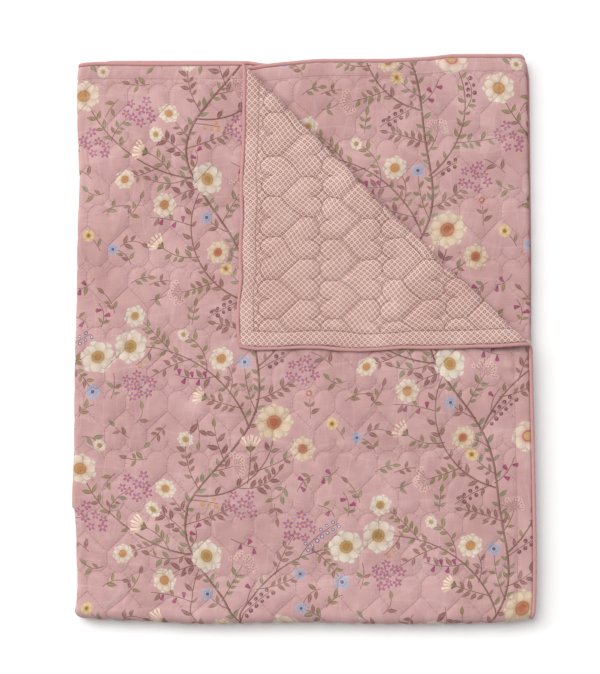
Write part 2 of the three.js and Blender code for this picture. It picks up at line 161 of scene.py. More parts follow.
# Value of an outline at a place, smooth and without overshoot between its points.
def along(rows, place):
    keys, values = np.array(rows, float).T
    gaps = np.diff(keys)
    slopes = np.diff(values) / gaps
    product = slopes[:-1] * slopes[1:]
    total = np.where(product > 0, slopes[:-1] + slopes[1:], 1.0)
    middle = np.where(product > 0, 2 * product / total, 0.0)
    tangents = np.concatenate([slopes[:1], middle, slopes[-1:]])
    place = np.clip(place, keys[0], keys[-1])
    i = np.clip(np.searchsorted(keys, place, side="right") - 1, 0, len(gaps) - 1)
    t = (place - keys[i]) / gaps[i]
    return (
        values[i] * (1 + 2 * t) * (1 - t) ** 2
        + tangents[i] * gaps[i] * t * (1 - t) ** 2
        + values[i + 1] * t * t * (3 - 2 * t)
        + tangents[i + 1] * gaps[i] * t * t * (t - 1)
    )


# Smooth unevenness between about -1 and 1, from a few crossing waves.
def waver(x, y, length, seed):
    dice = random.Random(seed)
    total = np.zeros(np.broadcast(x, y).shape)
    for n in range(7):
        turn = dice.uniform(0, math.tau)
        wave = math.tau / (length * dice.uniform(0.6, 1.5))
        phase = dice.uniform(0, math.tau)
        total = total + np.sin(wave * (x * math.cos(turn) + y * math.sin(turn)) + phase)
    return total / 3.2


# Where the flat cloth lies across the stack: its layer, height, slope and side.
def crossSection(across):
    layer = np.searchsorted([midEnd, lowStart, lowEnd, topStart], across, side="right")
    turn = np.select([layer == 1, layer == 3], [(across - midEnd) / rightLoop, (across - lowEnd) / leftLoop], 0.0)
    share = np.select(
        [layer == 0, layer == 2, layer == 4],
        [across / midEnd, 1 - (across - lowStart) / fold["acrossLow"], (across - topStart) / fold["acrossTop"]],
        0.0,
    )
    low = fold["lowLayer"]
    height = np.choose(layer, [
        midLayer, (midLayer + low) / 2 + rightLoop * np.cos(turn), low,
        (topLayer + low) / 2 - leftLoop * np.cos(turn), topLayer,
    ])
    normalX = np.choose(layer, [0, np.sin(turn), 0, -np.sin(turn), 0])
    normalZ = np.choose(layer, [1, np.cos(turn), -1, -np.cos(turn), 1])
    return {"layer": layer, "turn": turn, "share": share, "height": height, "nx": normalX, "nz": normalZ}


def acrossAt(section, y):
    layer, share, turn = section["layer"], section["share"], section["turn"]
    leftStart = along(outlines["leftFold"], y) + leftLoop + fold["faceFlat"]
    rightStart = along(outlines["rightFold"], y) - rightLoop - fold["faceFlat"]
    topRight = along(outlines["rightEdge"], y) - fold["pipingReach"]
    return np.choose(layer, [
        mix(leftStart + fold["hiddenEdgeInset"], rightStart, share),
        rightStart + rightLoop * np.sin(turn),
        mix(leftStart, rightStart, share),
        leftStart - leftLoop * np.sin(turn),
        mix(leftStart, topRight, share),
    ])


def endAt(section, x, under):
    rise = section["turn"] / math.pi
    low, mid, top = (along(outlines[name], x) for name in ("lowEnd", "midEnd", "topEnd"))
    over = np.choose(section["layer"], [mid, mix(mid, low, ease(rise)), low, mix(low, top, ease(rise)), top])
    return np.where(under, along(outlines["underEnd"], x), over) - fold["pipingReach"]


# The middle of the quilt at flat places, before the corner is turned back.
def layAt(across, up):
    section = crossSection(across)
    turn = math.pi * np.clip((up - fold["alongHalf"]) / bendLength, 0, 1)
    over, under = up < fold["alongHalf"], up > bendEnd
    x = acrossAt(section, np.zeros_like(up))
    y = x
    for step in range(3):
        axis = along(outlines["bottomFold"], x) + middleHeight
        end = endAt(section, x, under)
        y = np.select(
            [over, under],
            [mix(end, axis, up / fold["alongHalf"]), mix(axis, end, (up - bendEnd) / fold["alongHalf"])],
            axis - section["height"] * np.sin(turn),
        )
        x = acrossAt(section, y)
    return section, turn, x, y


# The roll's angle for each length of cloth along it.
rollAngles = np.linspace(0, math.pi, 181)
rollSteps = np.hypot(fold["rollWide"] * np.cos(rollAngles), fold["rollRadius"] * np.sin(rollAngles))
rollLengths = np.concatenate([[0], np.cumsum(rollSteps[1:] + rollSteps[:-1]) * math.pi / 360])


# How far a place lies beyond the line where the cloth leaves its layer to roll back, and how far along it.
def beyondCrease(x, y):
    offset = np.stack([x, y], -1) - creaseStart
    reach = offset @ creaseNormal + fold["rollWide"] + fold["reverseFlat"]
    return reach, offset @ creaseRun


# Every place of the quilt in metres. The corner rolls back unevenly, and the stack swells and sinks a little.
def place(across, up, lift):
    across, up, lift = (np.asarray(v, float) for v in (across, up, lift))
    section, turn, x, y = layAt(across, up)
    height = section["height"] + lift * section["nz"]
    plain = np.stack([
        x + lift * section["nx"],
        y - lift * section["nz"] * np.sin(turn),
        middleHeight + height * np.cos(turn),
    ], -1)
    reach, run = beyondCrease(x, y)
    ragged = fold["ragged"] * waver(run, 0 * run, 110, 5) + fold["raggedFine"] * waver(run, 0 * run, 36, 6)
    bow = fold["creaseBow"] * np.sin(math.pi * np.clip(run / fold["creaseLong"], 0, 1))
    reach = reach + bow + ragged * ease(run, 0, 90) * ease(-run, -690, -600)
    rolled = np.interp(reach, rollLengths, rollAngles)
    past = np.maximum(0, reach - rollLengths[-1])
    past = past - 2 * bow * ease(past, 0, fold["bowFade"])
    wide, high = fold["rollWide"] * np.cos(rolled), fold["rollRadius"] * np.sin(rolled)
    size = np.hypot(wide, high)
    back = fold["rollWide"] * np.sin(rolled) - past - lift * high / size
    sunk = (2 * fold["rollRadius"] - fold["restingLift"]) * ease(past / fold["settleLength"])
    rise = fold["rollRadius"] * (1 - np.cos(rolled)) - sunk + lift * wide / size
    turned = np.stack([
        x + (back - reach) * creaseNormal[0],
        y + (back - reach) * creaseNormal[1],
        middleHeight + topLayer + rise,
    ], -1)
    rolls = (section["layer"] == 4) & (up <= fold["alongHalf"]) & (reach > 0)
    laid = np.where(rolls[..., None], turned, plain)
    share = np.clip(laid[..., 2] / (2 * middleHeight), 0, 1.2) ** 2
    laid[..., 2] += fold["swell"] * share * waver(laid[..., 0], laid[..., 1], 260, 3)
    laid[..., 0] -= fold["boxMiddle"][0]
    laid[..., 1] -= fold["boxMiddle"][1]
    return laid * mm


print("quilt: fold worked out,", round(flatAcross), "x", round(flatAlong), "mm flat")


# Heart quilting: round lobes, short uprights and sides at 45 degrees, upright and inverted by turns.
hearts = {
    "lobe": 18.3,
    "upright": 17.5,
    "topStart": topStart + 9.6,  # first line of the top layer, an inverted heart's axis
    "midStart": 30.0,
    "topFirst": 30.7,  # where its first row starts
    "midFirst": 26.0,
    "puff": 5.0,  # how fast the loft rises beside a seam
    "topRise": 2.5,
    "midRise": 2.1,
    "reverseRise": 3.0,
    "snap": 1.7,  # points this near to a seam are moved onto it
    "hemAlong": 22.8,  # hem seam, from a bound end
    "hemAcross": 26.3,  # and from a bound side
}
heartHalf = 2 * hearts["lobe"]
heartTip = hearts["lobe"] + hearts["upright"] + heartHalf
heartRow = heartTip + hearts["lobe"] + hearts["upright"]


# Heart coordinates of a flat place. The top and the middle layer each carry their own rows.
def heartPlace(across, up):
    onMid = across < (midEnd + lowEnd) / 2
    x = np.where(onMid, across - hearts["midStart"], across - hearts["topStart"] - heartHalf)
    y = np.where(onMid, up - hearts["midFirst"], up - hearts["topFirst"])
    return x, y


# Distance in millimetres from a heart coordinate to the nearest seam.
def seamDistance(x, y):
    lobe, elbow = hearts["lobe"], hearts["lobe"] + hearts["upright"]
    x = np.abs((x + heartHalf) % (2 * heartHalf) - heartHalf)
    y = y % heartRow
    beyond = x + y > heartTip
    x = np.where(beyond, heartHalf - x, x)
    y = np.where(beyond, heartRow - y, y)
    arc = np.abs(np.hypot(x - lobe, y - lobe) - lobe)
    curved = np.where(y < lobe, arc, np.hypot(x, y - lobe))
    straight = np.where(y > lobe, np.where(y < elbow, heartHalf - x, np.hypot(heartHalf - x, y - elbow)), 99)
    slanted = np.abs(heartTip - x - y) / math.sqrt(2)
    return np.minimum(np.minimum(curved, straight), slanted)


# Soft creases pressed into the cloth, from one place to another on the face of the top layer, in millimetres
# as seen from above. Lift is the ridge's height, or a trough's depth where it is negative.
creases = [
    {"from": (346, -20), "to": (394, -32), "lift": 3.0, "width": 3.6},
    {"from": (352, -34), "to": (397, -46), "lift": -2.0, "width": 4},
    {"from": (348, -46), "to": (398, -62), "lift": 3.2, "width": 4},
    {"from": (344, -72), "to": (396, -84), "lift": 2.2, "width": 4.5},
    {"from": (352, -90), "to": (398, -112), "lift": -1.8, "width": 5},
    {"from": (-392, -288), "to": (-350, -270), "lift": 1.1, "width": 8},
    {"from": (-400, -300), "to": (-330, -330), "lift": -0.9, "width": 9},
    {"from": (-160, 470), "to": (-150, 360), "lift": -0.6, "width": 9},
    {"from": (-262, 480), "to": (-250, 250), "lift": 0.5, "width": 8},
    {"from": (-390, 200), "to": (-170, 215), "lift": 0.5, "width": 7},
    {"from": (-390, -100), "to": (60, -112), "lift": 0.55, "width": 8},
    {"from": (-30, -60), "to": (-22, -480), "lift": 0.5, "width": 8},
    {"from": (170, -70), "to": (180, -480), "lift": -0.45, "width": 8},
    {"from": (80, -260), "to": (390, -270), "lift": 0.5, "width": 8},
    {"from": (-380, -420), "to": (380, -408), "lift": 0.45, "width": 9},
]


def creaseLift(x, y):
    total = np.zeros_like(x)
    for crease in creases:
        start, end = np.array(crease["from"], float), np.array(crease["to"], float)
        run = end - start
        length = np.linalg.norm(run)
        run /= length
        offset = np.stack([x, y], -1) - start
        s = offset @ run
        bow = 0.06 * length * np.sin(math.pi * np.clip(s / length, 0, 1)) * math.copysign(1, crease["lift"])
        side = offset @ np.array([-run[1], run[0]]) - bow
        reach = ease(s, -0.2 * length, 0.25 * length) * ease(-s, -1.2 * length, -0.75 * length)
        total += crease["lift"] * reach * np.exp(-((side / crease["width"]) ** 2))
    return total


# Distance from the cloth's own edge, and the place along that edge.
def edgePlace(across, up):
    sides = np.stack([up, flatAcross - across, across, flatAlong - up], -1)
    nearest = np.argmin(sides, -1)
    return np.min(sides, -1), np.where((nearest == 0) | (nearest == 3), across, up + 311)


# Distance inwards from the nearest hem seam.
def fromHemOf(across, up):
    ends = np.minimum(up, flatAlong - up) - hearts["hemAlong"]
    return np.minimum(ends, np.minimum(across, flatAcross - across) - hearts["hemAcross"])


# Height of a cloth's outer side over the quilt's middle: hearts, hem seams and small puckers.
def clothLift(across, up, flat, topRise, midRise, covered):
    x, y = heartPlace(across, up)
    down = fold["stitchedDown"]
    uneven = 1 + 0.16 * waver(across, up, 150, 17) + 0.14 * waver(across, up, 50, 23)
    puff = (1 - np.exp(-((seamDistance(x, y) / hearts["puff"]) ** 1.25))) * uneven
    nearFold = 1 - ease(np.abs(across - (lowEnd + topStart) / 2), 14, 42)
    rise = np.where(across < (midEnd + lowEnd) / 2, midRise, topRise) * (1 - 0.65 * nearFold)
    edge, run = edgePlace(across, up)
    fromHem = fromHemOf(across, up)
    lift = mix(down + rise * puff, flat, ease(-fromHem, 0, 2))
    pucker = np.sin(run * math.tau / 19 + 2.4 * waver(run, 0 * run, 90, 31))
    pucker *= 0.34 * np.clip(0.5 + waver(run, 0 * run, 140, 37), 0, 1.3)
    lift += pucker * ease(-fromHem, -12, 3) * ease(edge, 2, 10)
    lift = mix(down, lift, ease(np.abs(fromHem), 0, 5.5))
    lift = mix(lift, flat, covered)
    return mix(1.2, lift, ease(edge, 0, 9))


# One where the top layer or its turned corner is covered, so that the face lies plain there.
turnedFrom = topStart + 277
turnedTo = 494


def coveredShare(across, up):
    return ease(across, turnedFrom, turnedFrom + 26) * ease(-up, -turnedTo, -turnedTo + 26)


def faceLift(across, up):
    covered = np.where(across > lowEnd, coveredShare(across, up), 0)
    covered = np.maximum(covered, ease(up, bendEnd - 12, bendEnd))  # pressed flat by the floor
    lift = clothLift(across, up, fold["faceFlat"], hearts["topRise"], hearts["midRise"], covered)
    laid = place(across, up, np.zeros_like(across)) / mm
    return lift + creaseLift(laid[..., 0], laid[..., 1]) * (across > topStart) * (1 - covered)


def reverseLift(across, up):
    rise = hearts["reverseRise"]
    return -clothLift(across, up, fold["reverseFlat"], rise, rise, (across <= topStart) * 1.0)


# The flat cloth's blocks: start, end, small cells and least cells. The least cells follow every fold.
def spreadBlocks(start, end, count, small, least=1):
    lines = np.linspace(start, end, count + 1)
    return [(a, b, small, least) for a, b in zip(lines[:-1], lines[1:])]


blocks = {
    "cells": 8,
    "reverseCells": 10,
    "hearts": 20,
    "rowsPerHeart": 3,
    "upperRows": 25,
    "beforeRoll": -45,  # small cells start this far before the roll
    "beyondRoll": 95,
    "underCorner": 30,  # and lie this far under the turned corner
}
heartsWide = blocks["hearts"] * heartHalf
rowBlock = heartRow / blocks["rowsPerHeart"]
lastRow = hearts["topFirst"] + blocks["upperRows"] * rowBlock


def clothBlocks(cells):
    columns = [
        *spreadBlocks(0, hearts["hemAcross"], 1, 6),
        *spreadBlocks(hearts["hemAcross"], hearts["midStart"], 1, 1),
        *spreadBlocks(hearts["midStart"], hearts["midStart"] + heartsWide, blocks["hearts"], cells),
        *spreadBlocks(hearts["midStart"] + heartsWide, midEnd, 1, 2),
        *spreadBlocks(midEnd, lowStart, 1, 6, 6),
        *spreadBlocks(lowStart, lowEnd, 16, 1),
        *spreadBlocks(lowEnd, topStart, 1, 8, 8),
        *spreadBlocks(topStart, hearts["topStart"], 1, 2),
        *spreadBlocks(hearts["topStart"], hearts["topStart"] + heartsWide, blocks["hearts"], cells),
        *spreadBlocks(hearts["topStart"] + heartsWide, flatAcross - hearts["hemAcross"], 1, 5),
        *spreadBlocks(flatAcross - hearts["hemAcross"], flatAcross, 1, 7),
    ]
    rows = [
        *spreadBlocks(0, hearts["hemAlong"], 1, 6),
        *spreadBlocks(hearts["hemAlong"], hearts["topFirst"], 1, 2),
        *spreadBlocks(hearts["topFirst"], lastRow, blocks["upperRows"], cells),
        *spreadBlocks(lastRow, fold["alongHalf"], 1, 7),
        *spreadBlocks(fold["alongHalf"], bendEnd, 1, 12, 12),
        *spreadBlocks(bendEnd, flatAlong - hearts["hemAlong"], 18, 1),
        *spreadBlocks(flatAlong - hearts["hemAlong"], flatAlong, 1, 1),
    ]
    return columns, rows


def keyOf(x, y):
    return round(x * 1e4), round(y * 1e4)


# Points and faces of a flat cloth, in small cells where isFine says so. Cells of two sizes share every point.
class FlatCloth:
    def __init__(self, cells, isFine, rim=()):
        self.index, self.flat, self.faces, self.fine = {}, [], [], []
        self.onAcross, self.onUp = defaultdict(set), defaultdict(set)
        columns, rows = clothBlocks(cells)
        grids = []
        middles = np.meshgrid([(c[0] + c[1]) / 2 for c in columns], [(r[0] + r[1]) / 2 for r in rows], indexing="ij")
        fineness = isFine(*middles)
        for i, (x0, x1, smallX, leastX) in enumerate(columns):
            for j, (y0, y1, smallY, leastY) in enumerate(rows):
                fine = bool(fineness[i, j])
                grid = np.linspace(x0, x1, (smallX if fine else leastX) + 1), np.linspace(
                    y0, y1, (smallY if fine else leastY) + 1
                )
                grids.append((*grid, fine))
                for x in grid[0]:
                    for y in (grid[1][0], grid[1][-1]):
                        self.onUp[keyOf(x, y)[1]].add(keyOf(x, y)[0])
                for y in grid[1]:
                    for x in (grid[0][0], grid[0][-1]):
                        self.onAcross[keyOf(x, y)[0]].add(keyOf(x, y)[1])
        for x, y in rim:
            if x in (0, keyOf(flatAcross, 0)[0]):
                self.onAcross[x].add(y)
            if y in (0, keyOf(0, flatAlong)[1]):
                self.onUp[y].add(x)
        self.onAcross = {x: sorted(ys) for x, ys in self.onAcross.items()}
        self.onUp = {y: sorted(xs) for y, xs in self.onUp.items()}
        for xs, ys, fine in grids:
            self.addBlock([keyOf(x, 0)[0] for x in xs], [keyOf(0, y)[1] for y in ys], fine)
        self.flat = np.array(self.flat) / 1e4

    def point(self, x, y):
        if (x, y) not in self.index:
            self.index[x, y] = len(self.flat)
            self.flat.append((x, y))
        return self.index[x, y]

    # Places on a block's border between two ends, the first one included.
    def between(self, places, start, end):
        low, high = min(start, end), max(start, end)
        inside = places[bisect_right(places, low):bisect_left(places, high)]
        return [start, *(inside if start < end else reversed(inside))]

    def addBlock(self, xs, ys, fine):
        for i, (x0, x1) in enumerate(zip(xs[:-1], xs[1:])):
            for j, (y0, y1) in enumerate(zip(ys[:-1], ys[1:])):
                low = self.between(self.onUp[y0], x0, x1) if j == 0 else [x0]
                right = self.between(self.onAcross[x1], y0, y1) if i == len(xs) - 2 else [y0]
                high = self.between(self.onUp[y1], x1, x0) if j == len(ys) - 2 else [x1]
                left = self.between(self.onAcross[x0], y1, y0) if i == 0 else [y1]
                ring = [(x, y0) for x in low] + [(x1, y) for y in right]
                ring += [(x, y1) for x in high] + [(x0, y) for y in left]
                corners = [self.point(*p) for p in ring]
                if len(corners) == 4:
                    self.faces.append(corners)
                    self.fine.append(fine)
                    continue
                centre = self.point((x0 + x1) // 2, (y0 + y1) // 2)
                for a, b in zip(corners, corners[1:] + corners[:1]):
                    self.faces.append((a, b, centre))
                    self.fine.append(fine)

    def rim(self):
        wide, high = keyOf(flatAcross, flatAlong)
        ring = [(x, 0) for x in self.onUp[0]] + [(wide, y) for y in self.onAcross[wide]]
        ring += [(x, high) for x in reversed(self.onUp[high])] + [(0, y) for y in reversed(self.onAcross[0])]
        return [p for n, p in enumerate(ring) if p != ring[n - 1]]


# The cloth's square corners are cut round.
def roundedCorner(across, up):
    radius = fold["cornerRound"]
    centreX = np.clip(across, radius, flatAcross - radius)
    centreY = np.clip(up, radius, flatAlong - radius)
    dx, dy = across - centreX, up - centreY
    largest = np.maximum(np.abs(dx), np.abs(dy))
    length = np.hypot(dx, dy)
    scale = np.where(length > 1e-9, largest / np.maximum(length, 1e-9), 1)
    return centreX + dx * scale, centreY + dy * scale


def creaseAt(across, up):
    x, y = layAt(across, up)[2:]
    return beyondCrease(x, y)[0]


# Where the cloth needs small cells: by the roll of the turned corner, and where the face or the reverse shows.
def nearRoll(across, up):
    reach = creaseAt(across, up)
    onTop = (across > topStart) & (up < fold["alongHalf"])
    return onTop & (reach > blocks["beforeRoll"]) & (reach < blocks["beyondRoll"])


def faceShows(across, up):
    hidden = (across > turnedFrom + blocks["underCorner"]) & (up < turnedTo - blocks["underCorner"])
    onTop = (across > lowEnd) & (nearRoll(across, up) | ~hidden)
    onMid = (across < lowStart) & ((across > midEnd) | (creaseAt(across, up) > -50))
    return (onTop | onMid) & (up < bendEnd)


def reverseShows(across, up):
    return (across > topStart) & (up < fold["alongHalf"]) & (creaseAt(across, up) > blocks["beforeRoll"])


# Moves points that lie close to a heart seam onto it, so that small cells meet in its groove.
def snapToSeam(flat):
    across, up = flat.T
    x, y = heartPlace(across, up)
    step = 0.02
    slopeX = (seamDistance(x + step, y) - seamDistance(x - step, y)) / (2 * step)
    slopeY = (seamDistance(x, y + step) - seamDistance(x, y - step)) / (2 * step)
    column = np.minimum(np.abs(across - hearts["midStart"] - heartsWide / 2),
                        np.abs(across - hearts["topStart"] - heartsWide / 2))
    inside = (column < heartsWide / 2 - 1) & (up > hearts["topFirst"] + 1) & (up < lastRow - 1)
    distance = seamDistance(x, y)
    shift = np.where(inside & (distance < hearts["snap"]), distance, 0)
    return flat - shift[:, None] * np.stack([slopeX, slopeY], -1)


# A closed cloth: its outer side in fine relief, its inner side near the quilt's middle, and a wall between.
def clothShell(name, cells, outerFine, liftOf, faceUp):
    outer = FlatCloth(cells, outerFine)
    inner = FlatCloth(cells, nearRoll, outer.rim())
    side = 1 if faceUp else -1
    outerFlat = snapToSeam(np.stack(roundedCorner(*outer.flat.T), -1))
    innerFlat = np.stack(roundedCorner(*inner.flat.T), -1)
    points = np.concatenate([
        place(*outerFlat.T, liftOf(*outerFlat.T)),
        place(*innerFlat.T, np.full(len(innerFlat), side * fold["seamGap"] / 2)),
    ])
    first = len(outerFlat)
    step = -1 if faceUp else 1
    faces = [tuple(face[::step]) for face in outer.faces]
    faces += [tuple(first + n for n in face[::-step]) for face in inner.faces]
    ring = outer.rim()
    for a, b in zip(ring, ring[1:] + ring[:1]):
        wall = (outer.index[a], outer.index[b], first + inner.index[b], first + inner.index[a])
        faces.append(wall if faceUp else wall[::-1])
    mesh = addMesh(name, points.tolist(), faces)
    flat = np.concatenate([outerFlat, innerFlat])
    fine = np.zeros(len(faces), bool)
    fine[: len(outer.fine)] = outer.fine
    piece = addObject(name, mesh)
    # The UV map holds flat places in metres, and the attribute heart coordinates in millimetres.
    addUvMap(mesh, flat[readNumbers(mesh.loops, "vertex_index")] * (mm, -mm))
    addVectors(mesh, "hearts", "POINT", np.stack([*heartPlace(*flat.T), fromHemOf(*flat.T)], -1))
    mesh.validate()
    print("quilt:", name, len(faces), "faces")
    return piece, flat, fine


face, faceFlat, faceFine = clothShell("quilt_face", blocks["cells"], faceShows, faceLift, True)
reverse = clothShell("quilt_reverse", blocks["reverseCells"], reverseShows, reverseLift, False)[0]


# Piping: a covered cord sewn round the whole edge, which goes through every fold with the cloth.
piping = {
    "halfWide": 3.4,
    "halfHigh": 2.3,
    "girth": 18.02,  # round the cord
    "sides": 12,
    "uneven": 0.05,
    "unevenEvery": 16,
}


def pipingMesh():
    ring = np.array(FlatCloth(blocks["cells"], faceShows).rim()) / 1e4
    radius = fold["cornerRound"]
    centre = np.clip(ring, radius, [flatAcross - radius, flatAlong - radius])
    offset = ring - centre
    corner = np.abs(offset).min(1) > 1e-3
    outward = np.where(corner[:, None], offset, np.sign(offset) * (np.abs(offset) > radius - 1e-3))
    outward /= np.linalg.norm(outward, axis=1)[:, None]
    edge = np.stack(roundedCorner(*ring.T), -1)
    angles = math.tau * (np.arange(piping["sides"]) + 0.5) / piping["sides"]
    run = np.cumsum(np.linalg.norm(np.diff(edge, axis=0, prepend=edge[:1]), axis=1))
    swell = 1 + piping["uneven"] * waver(run, 0 * run, piping["unevenEvery"], 41)
    out = fold["seamGap"] + piping["halfWide"] * (1 + np.cos(angles)[None, :] * swell[:, None])
    flat = edge[:, None, :] + out[..., None] * outward[:, None, :]
    lift = piping["halfHigh"] * np.sin(angles)[None, :] * swell[:, None]
    points = place(flat[..., 0], flat[..., 1], lift).reshape(-1, 3)
    count, sides = len(ring), piping["sides"]
    faces = []
    for n in range(count):
        for side in range(sides):
            a, b = n * sides + side, n * sides + (side + 1) % sides
            c, d = (n + 1) % count * sides + side, (n + 1) % count * sides + (side + 1) % sides
            faces.append((a, b, d, c))
    mesh = addMesh("quilt_piping", points.tolist(), faces)
    corners = readNumbers(mesh.loops, "vertex_index")
    girth = piping["girth"] * (corners % sides) / sides
    addUvMap(mesh, np.stack([run[corners // sides], girth], -1) * mm)
    print("quilt: piping,", count, "stations")
    return addObject("quilt_piping", mesh)


cord = pipingMesh()


# The floral print in millimetres: a trunk that runs on through every repeat, arching boughs, and side shoots
# with leaves, blossoms and berries, in a half-drop repeat.
floral = {
    "wide": 431.0,
    "high": 662.0,
    "seed": 12,
    "step": 3.0,
    "trunk": 2.0,  # half width of a stem
    "bough": 1.7,
    "tip": 0.8,
    "twig": 0.65,
    "ray": 0.36,
    "trunkMiddle": 120.0,
    "trunkSway": 62.0,
    "shootEvery": 30.0,
    "leafEvery": 12.5,
    "reach": 5.0,  # a stem's mark counts this far along
    "spare": 40.0,  # marks are laid this far past the cloth
    "sprays": 420,  # tries at a small spray in an empty place
}

# Boughs: place on the trunk's height, side, spread from it in degrees, length and curl.
boughs = [
    {"at": 0.04, "side": 1, "spread": 48, "length": 250, "curl": -70},
    {"at": 0.2, "side": -1, "spread": 62, "length": 205, "curl": 80},
    {"at": 0.37, "side": 1, "spread": 70, "length": 255, "curl": 105},
    {"at": 0.52, "side": -1, "spread": 50, "length": 225, "curl": -60},
    {"at": 0.7, "side": 1, "spread": 58, "length": 235, "curl": 60},
    {"at": 0.86, "side": -1, "spread": 66, "length": 195, "curl": 95},
]

# What ends the side shoots, by turns, and the room it takes.
endings = ["posy", "stars", "bloom", "berries", "posy", "umbel", "leaves", "fan", "bloom", "bells"]
endingRoom = {"bloom": 22, "posy": 15, "stars": 27, "umbel": 21, "fan": 17, "berries": 8, "bells": 8, "leaves": 6}


class FloralPrint:
    def __init__(self):
        self.dice = random.Random(floral["seed"])
        self.marks = defaultdict(list)
        self.taken = np.zeros((20000, 3))
        self.count = 0
        trunk = self.growTrunk()
        paths = [trunk]
        for bough in boughs:
            x, y, heading = trunk[int(bough["at"] * len(trunk))]
            spread, curl = math.radians(bough["spread"]), -math.radians(bough["curl"])
            side = bough["side"]
            path = self.trace(x, y, heading + side * spread, side * curl, bough["length"])
            self.draw("stem", path, floral["bough"], floral["tip"])
            self.bloomAt(path, self.dice.uniform(30, 36), 0.6)
            paths.append(path)
        for path in paths:
            self.growShoots(path)
        for path in paths:
            self.growLeaves(path, 5, 1.7)
        for n in range(floral["sprays"]):
            self.growSpray(self.dice.uniform(0, floral["wide"]), self.dice.uniform(0, floral["high"]))
        print("quilt: print with", {name: len(rows) for name, rows in self.marks.items()}, "marks a repeat")

    # True where nothing of the repeat is nearer to a place than its room and the other's together.
    def hasRoom(self, x, y, room):
        dx, dy = self.taken[: self.count, 0] - x, self.taken[: self.count, 1] - y
        columns = np.round(dx / floral["wide"])
        dx, dy = dx - columns * floral["wide"], dy - columns * floral["high"] / 2
        apart = np.hypot(dx, dy - np.round(dy / floral["high"]) * floral["high"])
        return not np.any(apart < room + self.taken[: self.count, 2])

    def hold(self, x, y, room):
        self.taken[self.count] = x, y, room
        self.count += 1

    def put(self, channel, x, y, turn, size, kind, room):
        if self.hasRoom(x, y, room):
            self.hold(x, y, room)
            self.marks[channel].append((x, y, turn, size, kind + self.dice.uniform(0.02, 0.95)))

    def growTrunk(self):
        shares = np.linspace(0, 1, 301)[:-1]
        sway = floral["trunkSway"]
        x = floral["trunkMiddle"] + sway * (np.sin(math.tau * shares) + 0.3 * np.sin(2 * math.tau * shares + 1.1))
        y = shares * floral["high"]
        run = sway * math.tau * (np.cos(math.tau * shares) + 0.6 * np.cos(2 * math.tau * shares + 1.1))
        path = list(zip(x, y, np.arctan2(floral["high"], run)))
        self.draw("stem", path, floral["trunk"], floral["trunk"])
        return path

    # Places along a stem from its foot. Its heading turns by curl over its length.
    def trace(self, x, y, heading, curl, length):
        steps = max(1, int(length / floral["step"]))
        path = [(x, y, heading)]
        for n in range(steps):
            x += floral["step"] * math.cos(heading)
            y += floral["step"] * math.sin(heading)
            heading += curl / steps
            path.append((x, y, heading))
        return path

    def draw(self, channel, path, foot, tip, room=1.2):
        for n, (x, y, heading) in enumerate(path):
            self.marks[channel].append((x, y, heading, mix(foot, tip, n / len(path)), 0.5))
            self.hold(x, y, room)

    def growShoots(self, path):
        every = floral["shootEvery"] / floral["step"]
        side = self.dice.choice([-1, 1])
        turn = self.dice.randrange(len(endings))
        for n in range(int(len(path) / every)):
            x, y, heading = path[int((n + self.dice.uniform(0.2, 0.8)) * every)]
            side = -side
            self.growShoot(x, y, heading, side, endings[(turn + n) % len(endings)])

    # A side shoot: turned and shortened until its run and its end have room.
    def growShoot(self, x, y, heading, side, ending):
        room = endingRoom[ending]
        for attempt in range(9):
            spread = math.radians(self.dice.uniform(30, 78))
            curl = math.radians(self.dice.uniform(-80, 35))
            length = self.dice.uniform(36, 92 - 6 * attempt)
            path = self.trace(x, y, heading + side * spread, side * curl, length)
            endX, endY, turn = path[-1]
            clear = self.hasRoom(endX + 0.8 * room * math.cos(turn), endY + 0.8 * room * math.sin(turn), 0.85 * room)
            if clear and all(self.hasRoom(px, py, 2.5) for px, py, turn in path[6::3]):
                getattr(self, ending + "At")(path)
                self.draw("twig", path, floral["twig"] * 1.4, floral["twig"])
                self.growLeaves(path, 3)
                return

    def ahead(self, path, distance):
        x, y, turn = path[-1]
        return x + distance * math.cos(turn), y + distance * math.sin(turn), turn

    # A leaf beside a place on a stem.
    def leaf(self, x, y, heading, side, size, kind):
        turn = heading + side * math.radians(self.dice.uniform(36, 62))
        x, y = x + (size + 1.0) * math.cos(turn), y + (size + 1.0) * math.sin(turn)
        self.put("leafLeft" if side > 0 else "leafRight", x, y, turn, size, kind, size * 0.45)

    def growLeaves(self, path, first, wider=1.0):
        every = wider * floral["leafEvery"] / floral["step"]
        kind = self.dice.choice([0, 0, 1, 1, 2, 3])
        for n in range(int((len(path) - first) / every)):
            x, y, heading = path[first + int(n * every)]
            size = self.dice.uniform(6.5, 10) if kind < 3 else self.dice.uniform(8.5, 12.5)
            self.leaf(x, y, heading, 1 if n % 2 else -1, size, kind)
            if self.dice.random() < 0.45:
                self.leaf(x, y, heading, -1 if n % 2 else 1, size * 0.9, self.dice.choice([kind, 1]))

    def bloomAt(self, path, size=0.0, near=0.5):
        size = size or self.dice.uniform(18, 25)
        x, y, turn = self.ahead(path, near * size)
        self.marks["bloom"].append((x, y, self.dice.uniform(0, math.tau), size, self.dice.uniform(0, 3.99)))
        self.hold(x, y, size * 0.86)

    def posyAt(self, path):
        size = self.dice.uniform(12, 16.5)
        x, y, turn = self.ahead(path, 0.5 * size)
        kind = self.dice.choice([0, 0, 1, 1, 2, 3])
        self.put("posy", x, y, self.dice.uniform(0, math.tau), size, kind, size * 0.86)

    def starsAt(self, path):
        x, y, turn = self.ahead(path, 23)
        for n in range(11):
            spread, angle = 26 * math.sqrt((n + 0.2) / 11), n * 2.4 + turn
            size = self.dice.uniform(7.6, 9.4)
            self.put("bud", x + spread * math.cos(angle), y + spread * math.sin(angle), angle, size, 4, size * 0.74)

